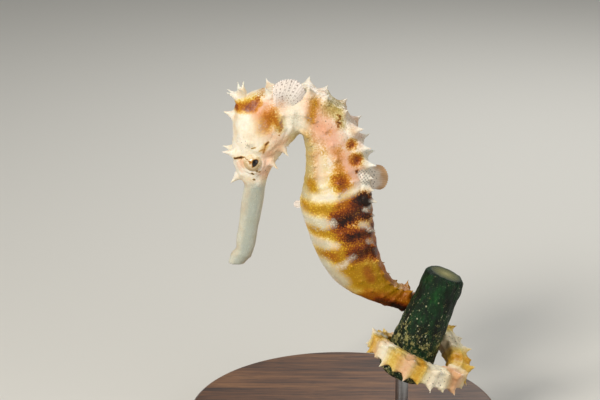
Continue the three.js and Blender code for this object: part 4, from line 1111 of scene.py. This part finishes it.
def add_fin(name, rays, size, foot, along, outward, curl, wave, dotted_part, material, node):
    """A sheet from a line at the fin's foot to a round margin, with dots on its dotted part only.

    The size is the foot's length, the height, the spread and the lean, all in mm.
    """
    foot_length, height, spread, lean = size
    normal = unit(np.cross(along, outward))
    squared = unit(np.cross(normal, along))
    columns = rays * COLUMNS_PER_RAY + 1
    u, v = np.meshgrid(np.linspace(0, 1, columns), np.linspace(0, 1, FIN_ROWS + 1))
    ridge = 0.5 + 0.5 * np.cos(2 * math.pi * (u * rays - 0.5))
    reach = 1 - 0.045 * (1 - ridge)              # the margin dips a little between two rays
    edge_x = lean - spread * np.cos(math.pi * u) * reach
    edge_y = height * (0.42 + 0.58 * np.sin(math.pi * u)) * reach
    flat_x = (u - 0.5) * foot_length * (1 - v) + edge_x * v
    flat_y = -0.5 * (1 - v) + edge_y * v
    lift = curl * v ** 2 + wave * np.sin(2 * math.pi * 2.5 * u + 1.0) * v ** 1.5
    half = (MEMBRANE + (RAY - MEMBRANE) * ridge ** 2 * (1 - 0.55 * v)) / 2 * np.where(v > 0.99, 0.5, 1)
    middle = foot + along * flat_x[..., None] + squared * flat_y[..., None] + normal * lift[..., None]
    front, behind = middle + normal * half[..., None], middle - normal * half[..., None]
    points = np.concatenate([front.reshape(-1, 3), behind.reshape(-1, 3)])
    count, faces = columns * (FIN_ROWS + 1), []
    for j in range(FIN_ROWS):
        for i in range(columns - 1):
            a, b = j * columns + i, (j + 1) * columns + i
            faces += [(a, a + 1, b + 1, b), (count + a, count + b, count + b + 1, count + a + 1)]
    border = [(i, i + 1) for i in range(columns - 1)]
    border += [(j * columns + columns - 1, (j + 1) * columns + columns - 1) for j in range(FIN_ROWS)]
    border += [(FIN_ROWS * columns + i + 1, FIN_ROWS * columns + i) for i in reversed(range(columns - 1))]
    border += [((j + 1) * columns, j * columns) for j in reversed(range(FIN_ROWS))]
    faces += [(b, a, count + a, count + b) for a, b in border]
    fin = piece(name, points, faces, material, "fin", node)
    # one dot to each cell of every second ray, moved and sized by noise; small ones vanish
    ray_pair = np.floor(u * rays / 2)
    along_ray = v * (height + 0.5) / DOT_STEP + 0.5 * np.mod(ray_pair, 2)
    cell = np.stack([ray_pair, np.floor(along_ray)], axis=-1).reshape(-1, 2)
    chances = [[noise.noise(Vector((a, b, layer)) * 3.3) for a, b in cell] for layer in (0.4, 3.1, 6.7)]
    shift_x, shift_y, swell = np.array(chances).reshape(3, *u.shape)
    offset = np.hypot((u * rays / 2 - ray_pair - 0.5 + 0.5 * shift_x) * 4 * spread * (0.4 + 0.6 * v) / rays,
                      (np.mod(along_ray, 1) - 0.5 + 0.5 * shift_y) * DOT_STEP)
    radius = 0.09 + 0.09 * swell
    spot = ramp(offset, radius + 0.04, radius - 0.03) * ramp(v, dotted_part, dotted_part - 0.12)
    for key, values in {"ray": ridge, "out": v, "spot": spot}.items():
        add_values(fin, {key: np.tile(values.ravel(), 2)})


print("each fin has", FIN_ROWS, "rows and", COLUMNS_PER_RAY, "columns to a ray")

# %% Dorsal, pectoral and anal fins
dorsal_material, dorsal_tree, dorsal_shader = new_material("spotted fin membrane")
clear_material, clear_tree, clear_shader = new_material("clear fin membrane")

centre, back, side, along, depth, _ = (v[0] for v in body_frame(PLACE["ring 9"] + 0.5))
add_fin("seahorse_dorsal_fin", 17, (4.6, 3.6, 2.7, 0.35), centre + back * depth, along, back,
        curl=-0.5, wave=0.16, dotted_part=0.5, material=dorsal_material, node="dorsal_fin")
PECTORAL_PLACE, PECTORAL_ANGLE, PECTORAL_SINK = PLACE["ring 1"] + 0.3, 66, 0.2
PECTORALS = {
    # name: (side, way out, run of its foot, size, curl); the left is raised and the right swept back
    "pectoral_fin_left": (-1, (0.25, -0.28, 0.93), (-0.97, 0, 0.25), (2.6, 5.8, 3.3, -0.9), 1.2),
    "pectoral_fin_right": (1, (0.8, 0.42, 0.12), (-0.3, 0, 0.95), (2.4, 4.4, 2.5, -0.8), 0.5),
}
for name, (sign, outward, hinge, size, curl) in PECTORALS.items():
    foot = surface(PECTORAL_PLACE, sign * PECTORAL_ANGLE)[0] + ACROSS * sign * PECTORAL_SINK
    add_fin("seahorse_" + name, 18, size, foot, unit(np.array(hinge)), unit(np.array(outward)),
            curl=curl, wave=0.16, dotted_part=1.2, material=clear_material, node=name)
centre, back, side, along, depth, _ = (v[0] for v in body_frame(PLACE["ring 11"] + 0.45))
add_fin("seahorse_anal_fin", 4, (1.1, 1.5, 0.8, 0.0), centre - back * depth, along, -back,
        curl=0.1, wave=0.05, dotted_part=0, material=clear_material, node="anal_fin")

# %% Fin shaders
for tree, shader, net, ray_colour, margin, clearest, densest in (
        (dorsal_tree, dorsal_shader, "#F8EADA", "#FBF3E8", "#C08C4C", 0.85, 0.85),
        (clear_tree, clear_shader, "#FDF6EE", "#FFFCF6", "#FCF0E6", 0.12, 0.72)):
    ray = add_node(tree, "Attribute", "Fac", attribute_name="ray")
    out = add_node(tree, "Attribute", "Fac", attribute_name="out")
    spot = add_node(tree, "Attribute", "Fac", attribute_name="spot")
    place = add_node(tree, "TexCoord", "Object")
    cloud = add_node(tree, "TexNoise", Vector=place, Scale=per_mm(0.9), Detail=4)
    base = add_node(tree, "Mix", data_type="RGBA", In0=ray, In6=linear(net), In7=linear(ray_colour))
    far = add_node(tree, "Math", operation="MULTIPLY_ADD", In0=cloud, In1=0.5, In2=out)
    rim = add_node(tree, "MapRange", interpolation_type="SMOOTHSTEP", Value=far,
                   From_Min=0.55, From_Max=1.1, To_Max=0.85)
    base = add_node(tree, "Mix", data_type="RGBA", In0=rim, In6=base, In7=linear(margin))
    base = add_node(tree, "Mix", data_type="RGBA", In0=spot, In6=base, In7=linear("#75604F"))
    tree.links.new(base, shader.inputs["Base Color"])
    # the membrane is clearest at its foot, where it leaves the skin, and denser on the rays
    solid = add_node(tree, "MapRange", interpolation_type="SMOOTHSTEP", Value=out,
                     From_Min=0.1, From_Max=0.75, To_Min=clearest, To_Max=densest)
    solid = add_node(tree, "Math", operation="MULTIPLY_ADD", In0=ray, In1=0.12, In2=solid)
    tree.links.new(solid, shader.inputs["Alpha"])
    shader.inputs["Roughness"].default_value = 0.35
    shader.inputs["Coat Weight"].default_value = 0.3
    print("fin shader:", len(tree.nodes), "nodes")

# %% [markdown]
# ## The stem
# The tail holds a cut length of the dark green stem that the animal lives on. Its skin is leathery
# and wrinkled lengthways, with pale grains and a cream crust here and there, and where it is cut it
# shows a fibrous olive core. A grid wrapped round the stem's axis is pushed by noise, so that the
# wrinkles are real, and the two ends are flat.

# %% Stem mesh
STEM = {"above": 6.0, "below": 17.0, "top_radius": 4.1, "bottom_radius": 5.2}
STEM_AROUND, STEM_ROWS, CUT_RINGS = 180, 230, 20
stem_length = STEM["above"] + STEM["below"]
points, values = [], {"cut": [], "from_middle": [], "crusted": []}


def stem_row(down, share, cut):
    """A ring of points at a distance down the stem, shrunk to a share of its radius."""
    t = (down + STEM["above"]) / stem_length
    radius = STEM["top_radius"] + (STEM["bottom_radius"] - STEM["top_radius"]) * t
    ends = 1 if cut else min(1, (down + STEM["above"]) / 0.6, (STEM["below"] - down) / 0.6) * 0.15 + 0.85
    for out in spokes(STEM_LEFT, ACROSS, STEM_AROUND):
        where = Vector(out * radius + STEM_DOWN * down * 0.35)
        wrinkle = noise.noise(where / 1.1) * 0.2 + noise.noise(where / 0.45 + Vector((9, 2, 4))) * 0.12
        lump = noise.noise(Vector(out * radius + STEM_DOWN * down) / 2.6 + Vector((3, 7, 1))) * 0.22
        height = 0.05 * noise.noise(Vector(out * radius * share) / 0.7) if cut else 0
        rim_radius = (radius + wrinkle + lump - 0.12) * ends
        points.append(STEM_TOP + STEM_DOWN * (down + height) + out * rim_radius * share)
    values["cut"].extend([float(cut and share < 0.97)] * STEM_AROUND)
    values["from_middle"].extend([share] * STEM_AROUND)
    values["crusted"].extend([float(ramp(down, 1.0, 8.0))] * STEM_AROUND)


for ring in range(1, CUT_RINGS):
    stem_row(-STEM["above"], 0.85 * ring / CUT_RINGS, True)
for down in np.linspace(-STEM["above"], STEM["below"], STEM_ROWS):
    stem_row(down, 1.0, False)
for ring in reversed(range(1, CUT_RINGS)):
    stem_row(STEM["below"], 0.85 * ring / CUT_RINGS, True)
stem_material, tree, shader = new_material("leathery stem")
stem_faces = tube_faces(len(points) // STEM_AROUND, STEM_AROUND)
stem = piece("cut_stem", points, stem_faces, stem_material, "stem", "perch")
add_values(stem, values)

# %% Stem shader
STEM_TILT = math.atan2(STEM_DOWN[0], STEM_DOWN[2]) + math.pi
place = add_node(tree, "TexCoord", "Object")
upright = add_node(tree, "Mapping", Vector=place, Rotation=(0, -STEM_TILT, 0), Scale=(1, 1, 0.3))
streak = add_node(tree, "TexNoise", Vector=upright, Scale=per_mm(1.3), Detail=6, Roughness=0.62)
patch = add_node(tree, "TexNoise", Vector=place, Scale=per_mm(3.2), Detail=5, Roughness=0.6)
fine = add_node(tree, "TexNoise", Vector=place, Scale=per_mm(0.35), Detail=5, Roughness=0.75)
patchy = add_node(tree, "Math", operation="MULTIPLY", In0=patch, In1=0.45)
shade = add_node(tree, "Math", operation="MULTIPLY_ADD", In0=streak, In1=0.55, In2=patchy)
# very dark greens: partly the stem's own dark green and partly painted shade
GREENS_AND_SHADE = [(0.36, "#020603"), (0.48, "#051A09"), (0.58, "#0A3213"), (0.7, "#1C5A22")]
colour = add_node(tree, "ValToRGB", Fac=shade, stops=GREENS_AND_SHADE)
crusted = add_node(tree, "Attribute", "Fac", attribute_name="crusted")
# pale grains, as (spacing in mm, radius as a share of it, colour, how far they hide the green)
for spacing, radius, tone, hiding in ((0.55, 0.2, "#5E7A4C", 0.6), (0.95, 0.17, "#C9C7A0", 0.85)):
    grains = add_node(tree, "TexVoronoi", Vector=place, Scale=per_mm(spacing), Randomness=1.0)
    grain = add_node(tree, "MapRange", interpolation_type="SMOOTHSTEP", Value=grains,
                     From_Min=radius * 1.3, From_Max=radius * 0.6, To_Max=hiding)
    few = add_node(tree, "Math", operation="MULTIPLY_ADD", In0=crusted, In1=0.14, In2=patch)
    few = add_node(tree, "MapRange", Value=few, From_Min=0.46, From_Max=0.62)
    grain = add_node(tree, "Math", operation="MULTIPLY", In0=grain, In1=few)
    colour = add_node(tree, "Mix", data_type="RGBA", In0=grain, In6=colour, In7=linear(tone))
crust = add_node(tree, "TexNoise", Vector=place, Scale=per_mm(1.4), Detail=8, Roughness=0.82, Distortion=0.4)
crust = add_node(tree, "Math", operation="MULTIPLY_ADD", In0=crusted, In1=0.09, In2=crust)
crust = add_node(tree, "MapRange", interpolation_type="SMOOTHSTEP", Value=crust,
                 From_Min=0.6, From_Max=0.67, To_Max=0.85)
cream = add_node(tree, "Mix", data_type="RGBA", In0=fine, In6=linear("#6A6A24"), In7=linear("#DCD28E"))
colour = add_node(tree, "Mix", data_type="RGBA", In0=crust, In6=colour, In7=cream)
cut = add_node(tree, "Attribute", "Fac", attribute_name="cut")
from_middle = add_node(tree, "Attribute", "Fac", attribute_name="from_middle")
rings = add_node(tree, "Math", operation="MULTIPLY_ADD", In0=fine, In1=0.35, In2=from_middle)
CORE = [(0.15, "#A39C62"), (0.5, "#77753C"), (0.85, "#4D5227"), (1.0, "#16280F")]
core = add_node(tree, "ValToRGB", Fac=rings, stops=CORE)
colour = add_node(tree, "Mix", data_type="RGBA", In0=cut, In6=colour, In7=core)
tree.links.new(colour, shader.inputs["Base Color"])
gloss = add_node(tree, "MapRange", Value=fine, To_Min=0.35, To_Max=0.65)
tree.links.new(gloss, shader.inputs["Roughness"])
shader.inputs["Specular IOR Level"].default_value = 0.25
height = add_node(tree, "Math", operation="MULTIPLY_ADD", In0=crust, In1=0.5, In2=fine)
bump = add_node(tree, "Bump", Height=height, Strength=0.8, Distance=0.25 * METRES)
tree.links.new(bump, shader.inputs["Normal"])
print("stem shader:", len(tree.nodes), "nodes and", len(tree.links), "links")

# %% [markdown]
# ## The stand
# The specimen stands on a turned disc of walnut with a satin lacquer, and a brushed steel rod goes up
# into the stem. Both are turned on a lathe, so each is a profile swept round an axis. Walnut's grain
# is long streaks of darker wood with fine pores, and lacquer lays a thin even gloss over it. Brushed
# steel is bare metal with fine lines round it, which blur what it mirrors. They are drawn coarser
# than real ones, so that they show.

# %% Turned pieces
BASE = {"radius": 32.0, "height": 6.0, "edge": 1.3, "foot": 0.6, "sides": 192}
ROD = {"radius": 1.3, "into_stem": 6.0, "into_base": 3.0, "sides": 48}


def add_turned(name, profile, axis_x, axis_y, around, material, slot, node):
    """A closed profile of (radius, height) points, bottom to top, swept round an upright axis."""
    circle = spokes((1, 0, 0), ACROSS, around)
    points = np.concatenate([(axis_x, axis_y, height) + radius * circle for radius, height in profile])
    piece(name, points, tube_faces(len(profile), around), material, slot, node)


def rounded(radius, height, edge, steps=8):
    """The quarter round of a top edge."""
    turns = np.linspace(0, math.pi / 2, steps)
    return [(radius - edge + edge * math.cos(t), height - edge + edge * math.sin(t)) for t in turns]


print("the rod is", 2 * ROD["radius"], "mm thick and the base", 2 * BASE["radius"], "mm wide")

# %% The walnut base
GRAIN_DIRECTION = (0, 0, 0.35)               # radians, a little off the base's own x axis
profile = [(BASE["radius"] * share, 0.0) for share in (0.2, 0.6, 0.9)]
profile += [(BASE["radius"] - BASE["foot"], 0.0), (BASE["radius"] - 0.1, BASE["foot"])]
profile += [(BASE["radius"], BASE["foot"] + 0.4), *rounded(BASE["radius"], BASE["height"], BASE["edge"])]
profile += [(BASE["radius"] * share, BASE["height"]) for share in (0.9, 0.7, 0.5, 0.3, 0.15)]
walnut, tree, shader = new_material("lacquered walnut")
add_turned("walnut_base", profile, 0, 0, BASE["sides"], walnut, "stand_wood", "stand_base")
place = add_node(tree, "TexCoord", "Object")
long_grain = add_node(tree, "Mapping", Vector=place, Rotation=GRAIN_DIRECTION, Scale=(0.07, 1, 1))
broad = add_node(tree, "TexNoise", Vector=long_grain, Scale=per_mm(7), Detail=4, Roughness=0.55,
                 Distortion=1.2)
narrow = add_node(tree, "TexNoise", Vector=long_grain, Scale=per_mm(1.3), Detail=7, Roughness=0.7)
pores = add_node(tree, "TexNoise", Vector=long_grain, Scale=per_mm(0.4), Detail=2)
bands = add_node(tree, "Math", operation="MULTIPLY", In0=broad, In1=0.5)
streaks = add_node(tree, "Math", operation="MULTIPLY_ADD", In0=narrow, In1=0.6, In2=bands)
WOOD = [(0.40, "#241409"), (0.50, "#4B2E19"), (0.58, "#6B4527"), (0.70, "#8A6039")]
wood = add_node(tree, "ValToRGB", Fac=streaks, stops=WOOD)
pore = add_node(tree, "MapRange", Value=pores, From_Min=0.4, From_Max=0.34, To_Max=0.7)
wood = add_node(tree, "Mix", data_type="RGBA", In0=pore, In6=wood, In7=linear("#1A0E07"))
tree.links.new(wood, shader.inputs["Base Color"])
shader.inputs["Roughness"].default_value = 0.45
shader.inputs["Coat Weight"].default_value = 0.5
shader.inputs["Coat Roughness"].default_value = 0.18
bump = add_node(tree, "Bump", Height=pores, Strength=0.25, Distance=0.1 * METRES)
tree.links.new(bump, shader.inputs["Normal"])

# %% The steel rod
stem_foot = STEM_TOP + STEM_DOWN * STEM["below"]
rod_top, rod_foot = stem_foot[2] + ROD["into_stem"], BASE["height"] - ROD["into_base"]
profile = [(0.3, rod_foot), (ROD["radius"], rod_foot)]
profile += [(ROD["radius"], height) for height in np.linspace(rod_foot + 1, rod_top - 1, 12)]
profile += [(ROD["radius"], rod_top), (0.3, rod_top)]
steel, tree, shader = new_material("brushed steel")
add_turned("steel_rod", profile, stem_foot[0], stem_foot[1], ROD["sides"], steel, "stand_steel", "stand_rod")
place = add_node(tree, "TexCoord", "Object")
brushed = add_node(tree, "Mapping", Vector=place, Scale=(0.05, 0.05, 1))
lines = add_node(tree, "TexNoise", Vector=brushed, Scale=per_mm(0.12), Detail=3)
tone = add_node(tree, "Mix", data_type="RGBA", In0=lines, In6=linear("#8F9296"), In7=linear("#C4C6C9"))
tree.links.new(tone, shader.inputs["Base Color"])
gloss = add_node(tree, "MapRange", Value=lines, To_Min=0.22, To_Max=0.42)
tree.links.new(gloss, shader.inputs["Roughness"])
shader.inputs["Metallic"].default_value = 1.0
